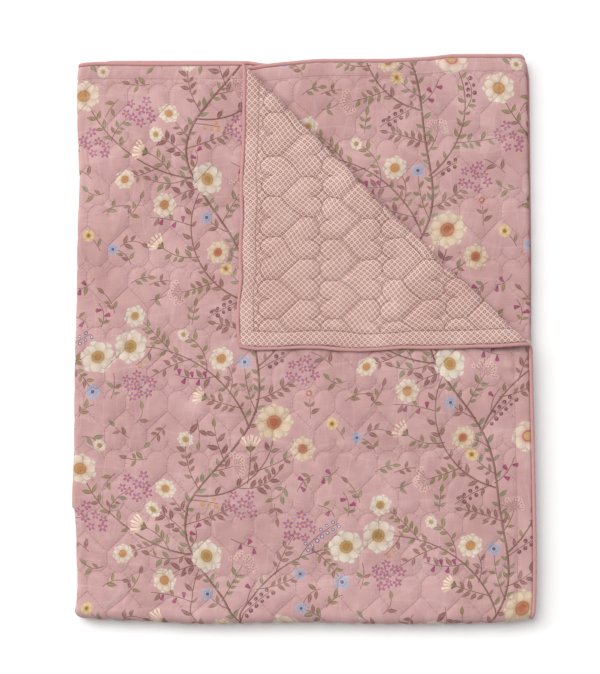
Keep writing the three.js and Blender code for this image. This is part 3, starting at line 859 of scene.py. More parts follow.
    def umbelAt(self, path):
        footX, footY, turn = path[-1]
        spreads = [turn + math.radians(18 * n - 81) for n in range(10)]
        rays = [self.trace(footX, footY, spread, 0.2, self.dice.uniform(16, 25)) for spread in spreads]
        for ray in rays:
            x, y, angle = ray[-1]
            self.put("bud", x, y, angle, self.dice.uniform(4.4, 5.6), 5, 2.3)
        for ray in rays:
            self.draw("twig", ray, floral["ray"], floral["ray"], 0.2)

    def fanAt(self, path):
        size = self.dice.uniform(15, 19)
        x, y, turn = self.ahead(path, 0.9 * size)
        self.put("fan", x, y, turn, size, 0, size * 0.85)

    def berriesAt(self, path):
        kind = self.dice.choice([0, 1, 2])
        for n, (x, y, heading) in enumerate(path[6::2]):
            turn = heading + (1 if n % 2 else -1) * 1.1
            size = self.dice.uniform(3.0, 4.4)
            self.put("bud", x + 6.2 * math.cos(turn), y + 6.2 * math.sin(turn), turn, size, kind, size * 0.9)

    def bellsAt(self, path):
        for n, (x, y, heading) in enumerate(path[5::4]):
            turn = heading + (1.3 if n % 2 else -1.3)
            self.put("bud", x + 7 * math.cos(turn), y + 7 * math.sin(turn), turn, 6, 3, 5.2)

    def leavesAt(self, path):
        x, y, turn = self.ahead(path, 8.5)
        self.put("leafLeft", x, y, turn, 8.5, self.dice.choice([0, 1, 2]), 4)

    # A small spray on its own, where the print would be bare.
    def growSpray(self, x, y):
        if not self.hasRoom(x, y, 17):
            return
        path = self.trace(x, y, self.dice.uniform(0, math.tau), self.dice.uniform(-1.2, 1.2), self.dice.uniform(22, 40))
        if not all(self.hasRoom(px, py, 7) for px, py, turn in path[::3]):
            return
        ending = self.dice.choice(["posy", "leaves", "leaves", "bells"])
        getattr(self, ending + "At")(path)
        self.draw("twig", path, floral["twig"], floral["twig"])
        self.growLeaves(path, 1)


# Gives each small face of the cloth its nearest mark of every channel: the corner's place on the mark, which
# runs from -1 to 1 over it, and the mark's kind.
def stampPrint(piece, flat, fine, channels):
    mesh = piece.data
    starts, totals = (readNumbers(mesh.polygons, label) for label in ("loop_start", "loop_total"))
    places = flat[readNumbers(mesh.loops, "vertex_index")] * (1, -1)
    centres = np.add.reduceat(places, starts) / totals[:, None]
    owner = np.repeat(np.arange(len(starts)), totals)
    for channel, marks in channels.items():
        rows = np.array(marks)
        images = []
        for column in range(-1, int(flatAcross / floral["wide"]) + 2):
            for row in range(-5 - column // 2, 3):
                offset = (column * floral["wide"], column * floral["high"] / 2 + row * floral["high"])
                images.append(rows + (*offset, 0, 0, 0))
        images = np.concatenate(images)
        spare = floral["spare"]
        near = (images[:, 0] > -spare) & (images[:, 0] < flatAcross + spare)
        images = images[near & (images[:, 1] > -flatAlong - spare) & (images[:, 1] < spare)]
        tree = KDTree(len(images))
        for n, (x, y) in enumerate(images[:, :2]):
            tree.insert((x, y, 0), n)
        tree.balance()
        nearest = np.zeros(len(starts), int)
        for n in np.flatnonzero(fine):
            nearest[n] = tree.find((*centres[n], 0))[1]
        mark = images[nearest[owner]]
        offset = places - mark[:, :2]
        cos, sin = np.cos(mark[:, 2]), np.sin(mark[:, 2])
        local = np.stack([offset[:, 0] * cos + offset[:, 1] * sin, offset[:, 1] * cos - offset[:, 0] * sin], -1)
        local = np.where(fine[owner][:, None], local / mark[:, 3:4], 9.0)
        kind = floral["reach"] / mark[:, 3] if channel in ("stem", "twig") else mark[:, 4]
        addVectors(mesh, channel, "CORNER", np.concatenate([local, kind[:, None]], 1))


florals = FloralPrint()
stampPrint(face, faceFlat, faceFine, florals.marks)
print("quilt: print laid on the cloth")


# Sums on a material's sockets, written as Python.
class Wire:
    def __init__(self, paint, socket):
        self.paint = paint
        self.socket = socket

    def maths(self, operation, *values):
        return self.paint.node("ShaderNodeMath", {"operation": operation}, dict(enumerate((self, *values))))

    def __add__(self, other):
        return self.maths("ADD", other)

    __radd__ = __add__

    def __sub__(self, other):
        return self.maths("SUBTRACT", other)

    def __rsub__(self, other):
        return self.paint.node("ShaderNodeMath", {"operation": "SUBTRACT"}, {0: other, 1: self})

    def __mul__(self, other):
        return self.maths("MULTIPLY", other)

    __rmul__ = __mul__

    def __truediv__(self, other):
        return self.maths("DIVIDE", other)

    def __lt__(self, other):
        return self.maths("LESS_THAN", other)

    def __gt__(self, other):
        return self.maths("GREATER_THAN", other)

    def __pow__(self, other):
        return self.maths("POWER", other)

    def __abs__(self):
        return self.maths("ABSOLUTE")

    def least(self, other):
        return self.maths("MINIMUM", other)

    def most(self, other):
        return self.maths("MAXIMUM", other)

    # Rises smoothly from nought at start to one at end.
    def ramp(self, start, end):
        return self.paint.node(
            "ShaderNodeMapRange",
            {"interpolation_type": "SMOOTHSTEP"},
            {"Value": self, "From Min": start, "From Max": end},
        )

    def parts(self):
        split = self.paint.node("ShaderNodeSeparateXYZ", {}, {0: self}).socket.node
        return [Wire(self.paint, output) for output in split.outputs]


class Paint:
    def __init__(self, name):
        self.material = bpy.data.materials.new(name)
        self.material.use_nodes = True
        self.tree = self.material.node_tree
        self.tree.nodes.clear()

    def node(self, kind, settings, inputs, output=0):
        made = self.tree.nodes.new(kind)
        for key, value in settings.items():
            setattr(made, key, value)
        for key, value in inputs.items():
            if isinstance(value, Wire):
                self.tree.links.new(value.socket, made.inputs[key])
            else:
                made.inputs[key].default_value = value
        return Wire(self, made.outputs[output])

    def colour(self, first, second, share, blend="MIX"):
        settings = {"data_type": "RGBA", "blend_type": blend}
        return self.node("ShaderNodeMix", settings, {0: share, 6: first, 7: second}, 2)

    # Lays coats of colour over another, each by its share.
    def coats(self, under, *rows):
        for colour, share in rows:
            under = self.colour(under, colour, share)
        return under

    # The colour of a kind, which is a whole number with a fraction added.
    def pick(self, kind, colours):
        chosen = colours[0]
        for n, colour in enumerate(colours[1:], 1):
            chosen = self.colour(chosen, colour, kind > n)
        return chosen

    def noise(self, vector, scale, detail=2.0, roughness=0.5):
        inputs = {"Vector": vector, "Scale": scale, "Detail": detail, "Roughness": roughness}
        return self.node("ShaderNodeTexNoise", {}, inputs)

    def twist(self, vector, scale, distortion):
        inputs = {"Vector": vector, "Scale": scale, "Distortion": distortion}
        return self.node("ShaderNodeTexWave", {"bands_direction": "DIAGONAL"}, inputs, 1)

    def stretch(self, vector, x, y):
        settings = {"operation": "MULTIPLY"}
        return self.node("ShaderNodeVectorMath", settings, {0: vector, 1: (x, y, 1)})

    def attribute(self, name):
        return self.node("ShaderNodeAttribute", {"attribute_name": name}, {}, 1)

    def flat(self):
        return self.node("ShaderNodeUVMap", {"uv_map": "flat"}, {})

    # The height is in metres.
    def bump(self, height):
        return self.node("ShaderNodeBump", {}, {"Height": height, "Distance": 1.0, "Strength": 1.0})

    def finish(self, colour, roughness, gloss=0.5, normal=None):
        inputs = {"Base Color": colour, "Roughness": roughness, "Specular IOR Level": gloss}
        if normal:
            inputs["Normal"] = normal
        shader = self.node("ShaderNodeBsdfPrincipled", {}, inputs)
        output = self.tree.nodes.new("ShaderNodeOutputMaterial")
        self.tree.links.new(shader.socket, output.inputs["Surface"])
        return self.material


def srgb(red, green, blue):
    def linear(value):
        value /= 255
        return value / 12.92 if value <= 0.04045 else ((value + 0.055) / 1.055) ** 2.4

    return linear(red), linear(green), linear(blue), 1.0


# Distance from the nearest heart seam in millimetres, as seamDistance gives it, and the place along that seam.
def seamWire(paint, x, y):
    lobe, elbow = hearts["lobe"], hearts["lobe"] + hearts["upright"]
    # A number of its own for each cell, so that the puckers differ.
    cell = (x * (1 / heartHalf)).maths("FLOOR") * 3.7 + (y * (2 / heartRow)).maths("FLOOR") * 7.3
    x = x.maths("PINGPONG", heartHalf)
    y = y.maths("FLOORED_MODULO", heartRow)
    beyond = (x + y) > heartTip
    x = x + beyond * (heartHalf - 2 * x)
    y = y + beyond * (heartRow - 2 * y)
    high = y > lobe
    sideX, sideY = x - lobe, y - lobe
    arc = abs((sideX * sideX + sideY * sideY) ** 0.5 - lobe)
    notch = (x * x + sideY * sideY) ** 0.5
    curved = arc + high * (notch - arc)
    straight = (heartHalf - x) + (1 - high) * 99 + (y > elbow) * 99
    slanted = abs(heartTip - x - y) * math.sqrt(0.5)
    run = sideY.maths("ARCTAN2", sideX) * lobe
    run = run + (straight < curved) * (y - run)
    run = run + (slanted < curved.least(straight)) * ((x - y) * math.sqrt(0.5) - run)
    lines = paint.node("ShaderNodeCombineXYZ", {}, {0: run, 1: cell + beyond * 1.9})
    return curved.least(straight).least(slanted), lines


# Relief that is too fine for the mesh: seams, puckers that cross them, press lines and the slub weave.
sewn = {
    "grooveWide": 1.5,
    "grooveDeep": 0.3 * mm,
    "puckerRun": 0.27,  # puckers a millimetre along a seam
    "puckerHigh": 1.15 * mm,
    "puckerReach": 10.5,
    "wander": 1.3 * mm,
    "press": 0.16 * mm,
    "weave": 0.1 * mm,
    "threads": 850.0,  # a metre
    "roughness": 0.93,
    "gloss": 0.15,
}


def clothSurface(paint, flat):
    x, y, fromHem = paint.attribute("hearts").parts()
    inside = fromHem.ramp(-1.0, 1.0)
    distance, lines = seamWire(paint, x, y)
    seam = distance + (1 - inside) * 60
    nearest = seam.least(abs(fromHem))
    groove = 1 - nearest.ramp(0.0, sewn["grooveWide"])
    tucks = paint.noise(lines, sewn["puckerRun"], 1.0) - 0.5
    reach = 1 - seam.ramp(0.6, sewn["puckerReach"])
    wander = paint.noise(flat, 120, 2.0) - 0.5
    loose = wander * (1 - nearest.ramp(1.0, 14.0))
    press = abs(paint.noise(paint.stretch(flat, 1, 0.25), 16, 2.0) - 0.5)
    pressDown = abs(paint.noise(paint.stretch(flat, 0.25, 1), 13, 2.0) - 0.5)
    pressLines = (1 - press.ramp(0.0, 0.025)) + (1 - pressDown.ramp(0.0, 0.025))
    threadsX = paint.noise(paint.stretch(flat, 1, 0.05), sewn["threads"], 1.0)
    threadsY = paint.noise(paint.stretch(flat, 0.05, 1), sewn["threads"], 1.0)
    height = tucks * reach * sewn["puckerHigh"] + loose * sewn["wander"] - groove * sewn["grooveDeep"]
    height = height + pressLines * sewn["press"] + (threadsX + threadsY) * sewn["weave"]
    slubs = ((threadsX + threadsY) * 0.5).ramp(0.3, 0.7)
    return paint.bump(height), groove, slubs, pressLines


# Colour over the print: uneven dye and slubs in the weave, painted shade in the seam grooves, and a painted highlight
# along the press lines.
def clothShade(paint, colour, flat, grooveShadePainted, groove, slubs, pressLines):
    blotch = paint.noise(flat, 7, 4.0, 0.6).ramp(0.3, 0.7)
    colour = paint.colour(colour, srgb(226, 214, 212), blotch * 0.6, "MULTIPLY")
    colour = paint.colour(colour, srgb(218, 206, 204), slubs * 0.3, "MULTIPLY")
    # Painted shade: the seam grooves are darkened by multiplying.
    colour = paint.colour(colour, srgb(176, 150, 146), groove * grooveShadePainted, "MULTIPLY")
    # Painted highlight: the press lines are mixed a little lighter.
    return paint.colour(colour, srgb(236, 214, 210), pressLines * 0.08)


# Stems and twigs: darker at the sides.
def stemLayer(paint, under, name, dark, light):
    u, v, reach = paint.attribute(name).parts()
    side = abs(v)
    shown = (1 - side.ramp(0.7, 1.2)) * (abs(u) < reach)
    return paint.colour(under, paint.colour(light, dark, abs(v - 0.35).ramp(0.1, 1.0)), shown * 0.88)


# Leaves: bent pointed ovals with a pale midrib and side ribs, one half darker than the other.
def leafLayer(paint, under, name, kinds):
    u, v, code = paint.attribute(name).parts()
    chance = code.maths("FRACT")
    v = v + (u * u - 0.4) * (chance - 0.5) * 0.34
    half = (1 - u * u).most(0) * (0.4 - u * 0.13)
    half = half + half * (u * 27).maths("SINE") * 0.1 * (code > 3)
    shown = (1 - (abs(v) - half).ramp(-0.05, 0.05)) * (abs(u) < 1)
    ribs = ((u - abs(v) * 1.1) * 21).maths("SINE").ramp(0.45, 1.0)
    body = paint.coats(
        paint.pick(code, kinds),
        (srgb(96, 68, 58), (v > 0.0) * 0.2 + chance * 0.3),
        (srgb(92, 66, 58), (abs(v) - half).ramp(-0.16, -0.02) * 0.3),
        (srgb(186, 166, 128), ribs * 0.24),
        (srgb(190, 172, 134), (1 - abs(v).ramp(0.02, 0.07)) * (abs(u) < 0.85) * 0.5),
    )
    return paint.colour(under, body, shown * 0.86)


# A value for each kind of blossom.
def perKind(kind, values):
    total = values[0]
    for n in range(1, len(values)):
        total = (kind > n) * (values[n] - values[n - 1]) + total
    return total


# Open blossoms: a front and a back round of petals, uneven at the edge, shaded where they lie over each other.
def blossomLayer(paint, under, name, kinds, flat):
    u, v, code = paint.attribute(name).parts()
    chance = code.maths("FRACT")
    u = u - (chance - 0.5) * 0.16
    v = v * (1 + chance * 0.14)
    radius = (u * u + v * v) ** 0.5
    turn = v.maths("ARCTAN2", u)
    petals, point, notch = (perKind(code, [kind[label] for kind in kinds]) for label in ("petals", "point", "notch"))
    slot = turn * petals * (1 / math.tau)
    front = abs((slot * math.pi).maths("COSINE"))
    back = abs((slot * math.pi).maths("SINE"))
    frill = (paint.noise(flat, 260, 2.0) - 0.5) * 0.2
    frontEdge = notch * 0.9 + (0.86 - notch * 0.9) * front**point + frill
    backEdge = notch + (0.95 - notch) * back**point + frill
    shown = 1 - (radius - frontEdge.most(backEdge)).ramp(-0.035, 0.035)
    behind = (radius - frontEdge).ramp(-0.015, 0.03)
    petal, blush, heart, rim = (
        paint.pick(code, [kind[label] for kind in kinds]) for label in ("petal", "blush", "heart", "rim")
    )
    shade = (slot + 0.5).maths("FRACT") * (1 - behind) + (slot.maths("FRACT") * behind)
    streak = (turn * 37.0 + radius * 3.0).maths("SINE") * 0.5 + 0.5
    dots = ((turn * 9.0).maths("SINE") * (radius * 60.0).maths("SINE")).ramp(0.1, 0.6)
    centre = paint.colour(heart, srgb(116, 78, 50), dots * 0.65)
    body = paint.coats(
        petal,
        (srgb(176, 150, 136), shade.ramp(0.35, 1.0) * 0.34),
        (srgb(150, 122, 108), behind * (1 - (radius - frontEdge).ramp(0.0, 0.2)) * 0.5),
        (blush, (1 - radius.ramp(0.25, 0.62)) * (0.5 + streak * 0.5)),
        (srgb(164, 134, 118), streak * (1 - radius.ramp(0.5, 0.9)) * 0.14),
        (rim, (1 - abs(radius - 0.3).ramp(0.02, 0.1)) * (0.55 + streak * 0.4)),
        (centre, 1 - radius.ramp(0.2, 0.26)),
    )
    return paint.colour(under, body, shown * 0.94)


# Blossoms seen from the side: a striped fan of petals on a green cup.
def fanLayer(paint, under, name):
    u, v, code = paint.attribute(name).parts()
    fromFoot = u + 0.95
    radius = (fromFoot * fromFoot + v * v) ** 0.5
    turn = v.maths("ARCTAN2", fromFoot)
    scallop = abs((turn * 6.5).maths("COSINE"))
    shown = (1 - (radius - 1.58 - scallop * 0.24).ramp(-0.05, 0.05)) * (1 - abs(turn).ramp(0.74, 0.82))
    stripes = (turn * 23.0).maths("SINE").ramp(0.2, 0.9) * radius.ramp(0.7, 1.45)
    cup = 1 - (radius - 0.6 - abs((turn * 5.0).maths("COSINE")) * 0.14).ramp(-0.05, 0.05)
    body = paint.coats(
        srgb(232, 216, 198),
        (srgb(190, 92, 88), stripes * 0.7),
        (srgb(196, 128, 120), (1 - radius.ramp(0.6, 1.25)) * 0.55),
        (srgb(170, 120, 110), (1 - scallop.ramp(0.0, 0.35)) * 0.5),
        (paint.colour(srgb(132, 126, 84), srgb(92, 72, 58), abs(turn).ramp(0.2, 0.8)), cup),
    )
    return paint.colour(under, body, shown * 0.92)


# Berries, bells and florets.
def budLayer(paint, under, name):
    u, v, code = paint.attribute(name).parts()
    radius = (u * u + v * v) ** 0.5
    turn = v.maths("ARCTAN2", u)
    starry = code > 4
    bell = (code > 3) * (code < 4)
    point = abs((turn * 2.5).maths("COSINE"))
    star = 0.4 + 0.58 * point**1.5
    flare = 0.56 + 0.4 * u
    reach = starry * star + (1 - starry) * 0.92
    shown = 1 - (radius - reach).ramp(-0.08, 0.08)
    shown = shown * (1 - bell * (abs(v) - flare * 0.85).ramp(-0.05, 0.1))
    light = 1 - ((u + 0.25) * (u + 0.25) + (v - 0.3) * (v - 0.3)).ramp(0.0, 0.09)
    body = paint.coats(
        paint.pick(code, budBodies),
        (srgb(122, 62, 110), (code > 4) * (code < 5) * radius.ramp(0.6, 0.95) * 0.75),
        (srgb(110, 64, 84), (1 - point.ramp(0.1, 0.5)) * starry * 0.4),
        (paint.pick(code, budHearts), (1 - radius.ramp(0.12, 0.42)) * (1 - bell)),
        (srgb(110, 52, 80), bell * (1 - u.ramp(-0.6, 0.1)) * 0.7),
        (srgb(84, 88, 140), (code > 2) * (code < 3) * radius.ramp(0.45, 0.62)),
        (srgb(236, 220, 206), light * (1 - starry) * (1 - bell) * 0.5),
    )
    return paint.colour(under, body, shown * 0.9)


budBodies = [
    srgb(194, 142, 78), srgb(116, 74, 82), srgb(206, 196, 200), srgb(158, 72, 112), srgb(170, 108, 152),
    srgb(222, 190, 184),
]
budHearts = [
    srgb(214, 174, 104), srgb(140, 98, 104), srgb(214, 206, 206), srgb(190, 112, 148), srgb(218, 172, 96),
    srgb(186, 122, 112),
]


def blossomKinds(rows):
    labels = ("petals", "point", "notch", "petal", "blush", "heart", "rim")
    return [dict(zip(labels, (*row[:3], *(srgb(*colour) for colour in row[3:])))) for row in rows]


# Petals, how pointed they are, how deep the notch between them, and colours of petal, blush, heart and rim.
bloomKinds = blossomKinds([
    (7, 0.6, 0.62, (226, 214, 196), (204, 166, 118), (200, 148, 78), (164, 108, 68)),
    (5, 0.5, 0.66, (228, 212, 194), (204, 128, 118), (208, 174, 108), (176, 92, 84)),
    (6, 0.7, 0.6, (224, 216, 202), (214, 186, 122), (178, 136, 76), (150, 122, 76)),
    (8, 0.55, 0.64, (222, 206, 178), (206, 150, 106), (184, 106, 70), (156, 90, 62)),
])
posyKinds = blossomKinds([
    (6, 1.4, 0.46, (172, 178, 200), (128, 140, 178), (98, 94, 112), (188, 190, 206)),
    (7, 0.7, 0.62, (226, 216, 200), (206, 186, 146), (190, 150, 78), (160, 134, 84)),
    (5, 0.5, 0.66, (220, 200, 150), (206, 164, 92), (160, 104, 58), (184, 136, 80)),
    (5, 0.7, 0.6, (212, 166, 164), (178, 94, 100), (214, 188, 144), (160, 76, 84)),
])
leafKinds = [srgb(140, 134, 88), srgb(146, 100, 98), srgb(130, 138, 106), srgb(134, 74, 86)]


def faceMaterial():
    paint = Paint("floral_cotton")
    flat = paint.flat()
    normal, *shade = clothSurface(paint, flat)
    colour = paint.colour(srgb(196, 158, 158), srgb(204, 166, 164), paint.noise(flat, 30, 3.0).ramp(0.3, 0.7))
    colour = stemLayer(paint, colour, "twig", srgb(108, 74, 68), srgb(142, 102, 92))
    colour = stemLayer(paint, colour, "stem", srgb(92, 62, 58), srgb(146, 108, 96))
    for name in ("leafLeft", "leafRight"):
        colour = leafLayer(paint, colour, name, leafKinds)
    colour = budLayer(paint, colour, "bud")
    colour = fanLayer(paint, colour, "fan")
    colour = blossomLayer(paint, colour, "posy", posyKinds, flat)
    colour = blossomLayer(paint, colour, "bloom", bloomKinds, flat)
    # 0.2 is how strongly the seam grooves get painted shade.
    colour = clothShade(paint, colour, flat, 0.2, *shade)
    return paint.finish(colour, sewn["roughness"], sewn["gloss"], normal)


# The reverse: small brown rings with pale centres on a diagonal lattice.
lattice = {"pitch": 7.45, "ring": 1.75, "ringWide": 0.3, "line": 0.45}


def reverseMaterial():
    paint = Paint("printed_cotton")
    flat = paint.flat()
    normal, *shade = clothSurface(paint, flat)
    x, y = flat.parts()[:2]
    scale = 1000 / lattice["pitch"] / math.sqrt(2)
    a, b = ((x + y) * scale).maths("FRACT") - 0.5, ((x - y) * scale).maths("FRACT") - 0.5
    radius = (a * a + b * b) ** 0.5 * lattice["pitch"]
    border = (0.5 - abs(a).most(abs(b))) * lattice["pitch"]
    ring = 1 - (abs(radius - lattice["ring"])).ramp(lattice["ringWide"], lattice["ringWide"] * 2.2)
    colour = paint.coats(
        srgb(196, 160, 152),
        (srgb(227, 199, 190), 1 - border.ramp(lattice["line"], 1.1)),
        (srgb(221, 195, 185), 1 - radius.ramp(0.9, 1.4)),
        (srgb(138, 100, 94), ring * 0.85),
    )
    # 0.75 is how strongly the seam grooves get painted shade; the reverse's seams are painted darker.
    colour = clothShade(paint, colour, flat, 0.75, *shade)
    return paint.finish(colour, sewn["roughness"], sewn["gloss"], normal)


def pipingMaterial():
    paint = Paint("piping_cotton")
    flat = paint.flat()
    weave = paint.twist(flat, 900.0, 1.5)
    colour = paint.colour(srgb(186, 134, 134), srgb(210, 160, 158), weave)
    normal = paint.bump(weave * 0.00012 + paint.noise(flat, 260) * 0.0004)
    return paint.finish(colour, 0.85, 0.25, normal)


# Sewing thread: twisted, a little glossier than the cloth.
def threadMaterial():
    paint = Paint("sewing_thread")
    spot = paint.node("ShaderNodeTexCoord", {}, {}, 3)
    twist = paint.twist(spot, 700.0, 2.0)
    colour = paint.colour(srgb(186, 146, 145), srgb(208, 168, 166), twist * 0.7 + paint.noise(spot, 60) * 0.3)
    return paint.finish(colour, 0.6, 0.4, paint.bump(twist * 0.00008))


def dress(piece, material, node):
    piece.data.materials.append(material)
    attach(piece, "root")
    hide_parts(node)


# Stitches in the quilting and hem seams, made by Geometry Nodes along lines laid on the finished cloth.
stitching = {
    "length": 3.2,
    "pitch": 4.4,
    "half": 0.42,  # half width of a stitch
    "high": 0.3,
    "lift": 0.12,  # over the cloth
    "search": 6.0,  # how far the cloth may be from a seam's place
    "afterRoll": 16,  # seams of the turned corner start this far beyond the roll's start
    "hearts": 12,
    "rows": 9,
    "sides": 4,
    "uneven": 0.14,
    "seed": 5,
}


# One half of a heart's seam in heart coordinates: round a lobe, down the upright and along the slant.
def halfHeart():
    lobe, elbow = hearts["lobe"], hearts["lobe"] + hearts["upright"]
    angles = np.linspace(0, math.pi, 17)
    arc = np.stack([lobe - lobe * np.cos(angles), lobe - lobe * np.sin(angles)], -1)
    upright = np.stack([np.full(5, heartHalf), np.linspace(lobe, elbow, 6)[1:]], -1)
    slant = np.linspace((heartHalf, elbow), (0, heartTip), 15)[1:]
    return arc, upright, slant


# Seam lines of a layer in flat places.
def heartLines(startX, startY):
    arc, upright, slant = halfHeart()
    whole, mirrored = np.concatenate([arc, upright, slant]), np.concatenate([slant[::-1], upright[-1:]])
    lines = []
    for column in range(-1, stitching["hearts"] + 1):
        for row in range(stitching["rows"]):
            origin = np.array([startX + 2 * heartHalf * column, startY + heartRow * row])
            halves = [whole, arc * (-1, 1), mirrored * (-1, 1)]
            lines += [origin + half for half in halves]
            lines += [origin + (heartHalf, heartRow) - half for half in halves]
    return lines


def hemLines():
    ups = np.arange(hearts["hemAlong"], fold["alongHalf"], 4.0)
    side = np.stack([np.full(len(ups), flatAcross - hearts["hemAcross"]), ups], -1)
    acrosses = np.arange(hearts["hemAcross"], flatAcross - hearts["hemAcross"], 4.0)
    end = np.stack([acrosses, np.full(len(acrosses), hearts["hemAlong"])], -1)
    return [side, end]


# Lays the lines that show on a cloth, as edges for the stitches to follow.
def layLines(name, piece, lines, shows, liftOf, side):
    tree = BVHTree.FromPolygons([v.co for v in piece.data.vertices], [p.vertices[:] for p in piece.data.polygons])
    across, up = np.concatenate(lines).T
    owner = np.repeat(np.arange(len(lines)), [len(line) for line in lines])
    aims = place(across, up, liftOf(across, up) + side * 0.5)
    points, edges, last = [], [], None
    for n in np.flatnonzero(shows(across, up)):
        spot, normal = tree.find_nearest(Vector(aims[n]), stitching["search"] * mm)[:2]
        if spot is None:
            continue
        points.append(spot + normal * stitching["lift"] * mm)
        if last == n - 1 and owner[n] == owner[last]:
            edges.append((len(points) - 2, len(points) - 1))
        last = n
    return addObject(name, addMesh(name, points, [], edges))


class StitchTree:
    def __init__(self):
        self.group = bpy.data.node_groups.new("stitches", "GeometryNodeTree")
        sockets = self.group.interface
        sockets.new_socket("Geometry", in_out="INPUT", socket_type="NodeSocketGeometry")
        self.sizes = {}
        for label, kind in [
            ("Pitch", "NodeSocketFloat"), ("Stitch size", "NodeSocketVector"), ("Uneven", "NodeSocketFloat"),
            ("Sides", "NodeSocketInt"), ("Seed", "NodeSocketInt"), ("Thread", "NodeSocketMaterial"),
        ]:
            self.sizes[label] = sockets.new_socket(label, in_out="INPUT", socket_type=kind).identifier
        sockets.new_socket("Geometry", in_out="OUTPUT", socket_type="NodeSocketGeometry")
        start = self.group.nodes.new("NodeGroupInput").outputs
        curve = self.node("GeometryNodeMeshToCurve", {}, {"Mesh": start["Geometry"]})
        run = self.node("GeometryNodeCurveToPoints", {"mode": "LENGTH"}, {"Curve": curve[0], "Length": start["Pitch"]})
        turn = self.node("FunctionNodeAlignRotationToVector", {"axis": "Z"}, {"Vector": run["Tangent"]})
        bead = self.node("GeometryNodeMeshUVSphere", {}, {"Segments": start["Sides"], "Rings": 3, "Radius": 1.0})
        smooth = self.node("GeometryNodeSetShadeSmooth", {}, {0: bead["Mesh"]})
        low = self.node("ShaderNodeMath", {"operation": "SUBTRACT"}, {0: 1.0, 1: start["Uneven"]})
        chance = self.node("FunctionNodeRandomValue", {"data_type": "FLOAT"}, {2: low[0], 3: 1.0, 8: start["Seed"]})
        size = self.node("ShaderNodeVectorMath", {"operation": "SCALE"}, {0: start["Stitch size"], 3: chance[1]})
        laid = self.node("GeometryNodeInstanceOnPoints", {}, {
            "Points": run["Points"], "Instance": smooth[0], "Rotation": turn[0], "Scale": size[0],
        })
        real = self.node("GeometryNodeRealizeInstances", {}, {0: laid[0]})
        threaded = self.node("GeometryNodeSetMaterial", {}, {"Geometry": real[0], "Material": start["Thread"]})
        self.node("NodeGroupOutput", {}, {"Geometry": threaded[0]})

    def node(self, kind, settings, inputs):
        made = self.group.nodes.new(kind)
        for key, value in settings.items():
            setattr(made, key, value)
        for key, value in inputs.items():
            if isinstance(value, bpy.types.NodeSocket):
                self.group.links.new(value, made.inputs[key])
            else:
                made.inputs[key].default_value = value
        return made.outputs


def sewStitches(name, lineObject, tree, thread):
    modifier = lineObject.modifiers.new("stitches", "NODES")
    modifier.node_group = tree.group
    half, high, length = stitching["half"] * mm, stitching["high"] * mm, stitching["length"] * mm / 2
    for label, value in {
        "Pitch": stitching["pitch"] * mm, "Stitch size": (half, high, length), "Uneven": stitching["uneven"],
        "Sides": stitching["sides"], "Seed": stitching["seed"], "Thread": thread,
    }.items():
        modifier[tree.sizes[label]] = value
    graph = bpy.context.evaluated_depsgraph_get()
    mesh = bpy.data.meshes.new_from_object(lineObject.evaluated_get(graph))
    mesh.name = name
    lineObject.modifiers.remove(modifier)
    bpy.data.objects.remove(lineObject)
    print("quilt:", name, len(mesh.polygons), "faces")
    return addObject(name, mesh)


def faceSeamShows(across, up):
    quilted = fromHemOf(across, up) > -0.1
    return quilted & faceShows(across, up) & (up < fold["alongHalf"]) & ((across > lowEnd) | (across < midEnd))


def reverseSeamShows(across, up):
    return (fromHemOf(across, up) > -0.1) & (across > topStart) & (creaseAt(across, up) > stitching["afterRoll"])


topLines = heartLines(hearts["topStart"] + heartHalf, hearts["topFirst"])
topLines = [line for line in topLines if line[:, 0].max() > topStart]
midLines = heartLines(hearts["midStart"], hearts["midFirst"])
midLines = [line for line in midLines if line[:, 0].min() < midEnd]
stitchTree = StitchTree()
thread = threadMaterial()
faceLines = layLines("face_lines", face, topLines + midLines + hemLines(), faceSeamShows, faceLift, 1)
faceThread = sewStitches("quilt_face_stitches", faceLines, stitchTree, thread)
reverseLines = layLines("reverse_lines", reverse, topLines + hemLines(), reverseSeamShows, reverseLift, -1)
reverseThread = sewStitches("quilt_reverse_stitches", reverseLines, stitchTree, thread)

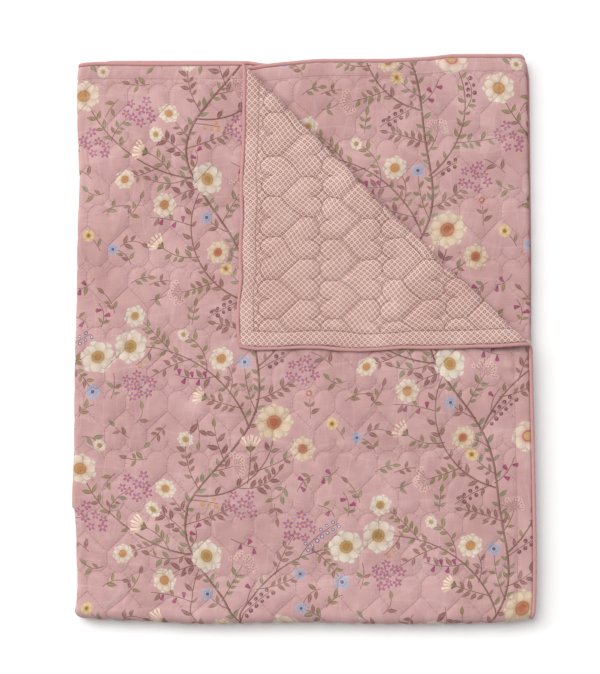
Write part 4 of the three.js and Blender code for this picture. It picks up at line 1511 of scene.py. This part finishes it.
dress(face, faceMaterial(), "face_cloth")
dress(reverse, reverseMaterial(), "reverse_cloth")
dress(cord, pipingMaterial(), "piping")
for piece, slotName in ((faceThread, "floral_cotton"), (reverseThread, "printed_cotton")):
    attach(piece, "root")
print("quilt: finishes made")


# Plain floor, soft light from the upper left and a camera straight above.
studio = {
    "centre": (-0.0067, 0.004),
    "top": 0.037,
    "height": 4.0,
    "seen": 1.186,  # metres of the quilt's top plane over the picture's height
    "sensor": 36.0,
    "floor": 6.0,
    "floorWhite": (0.96, 0.96, 0.96, 1),
    "sky": 0.46,
}

# Name, kind, place, energy, size and colour.
lights = [
    ("main", "SUN", (-1.0, 1.5, 2.4), 2.3, 0.85, (1.0, 1.0, 0.99)),
    ("left", "AREA", (-2.2, 0.9, 1.8), 18, 0.8, (1.0, 0.99, 0.98)),
]


def addLight(name, kind, location, energy, size, colour):
    light = bpy.data.lights.new(name, kind)
    light.energy = energy
    light.color = colour
    if kind == "SUN":
        light.angle = size
    else:
        light.size = size
    lamp = addObject(name, light)
    lamp.location = location
    lamp.rotation_euler = (-Vector(location)).to_track_quat("-Z", "Y").to_euler()


def setStudio():
    scene = bpy.context.scene
    lens = bpy.data.cameras.new("camera")
    lens.sensor_width = studio["sensor"]
    lens.lens = studio["sensor"] * studio["height"] / studio["seen"]
    scene.camera = addObject("camera", lens)
    scene.camera.location = (*studio["centre"], studio["top"] + studio["height"])
    half = studio["floor"]
    corners = [(-half, -half, 0), (half, -half, 0), (half, half, 0), (-half, half, 0)]
    floor = addObject("floor", addMesh("floor", corners, [(0, 1, 2, 3)]))
    floor.data.materials.append(Paint("floor_paper").finish(studio["floorWhite"], 1.0))
    world = bpy.data.worlds.new("studio")
    world.use_nodes = True
    background = world.node_tree.nodes["Background"].inputs
    background["Color"].default_value = (1, 1, 1, 1)
    background["Strength"].default_value = studio["sky"]
    scene.world = world
    scene.view_settings.view_transform = "Standard"
    for row in lights:
        addLight(*row)


setStudio()

flatSize = (flatAcross * mm, flatAlong * mm)
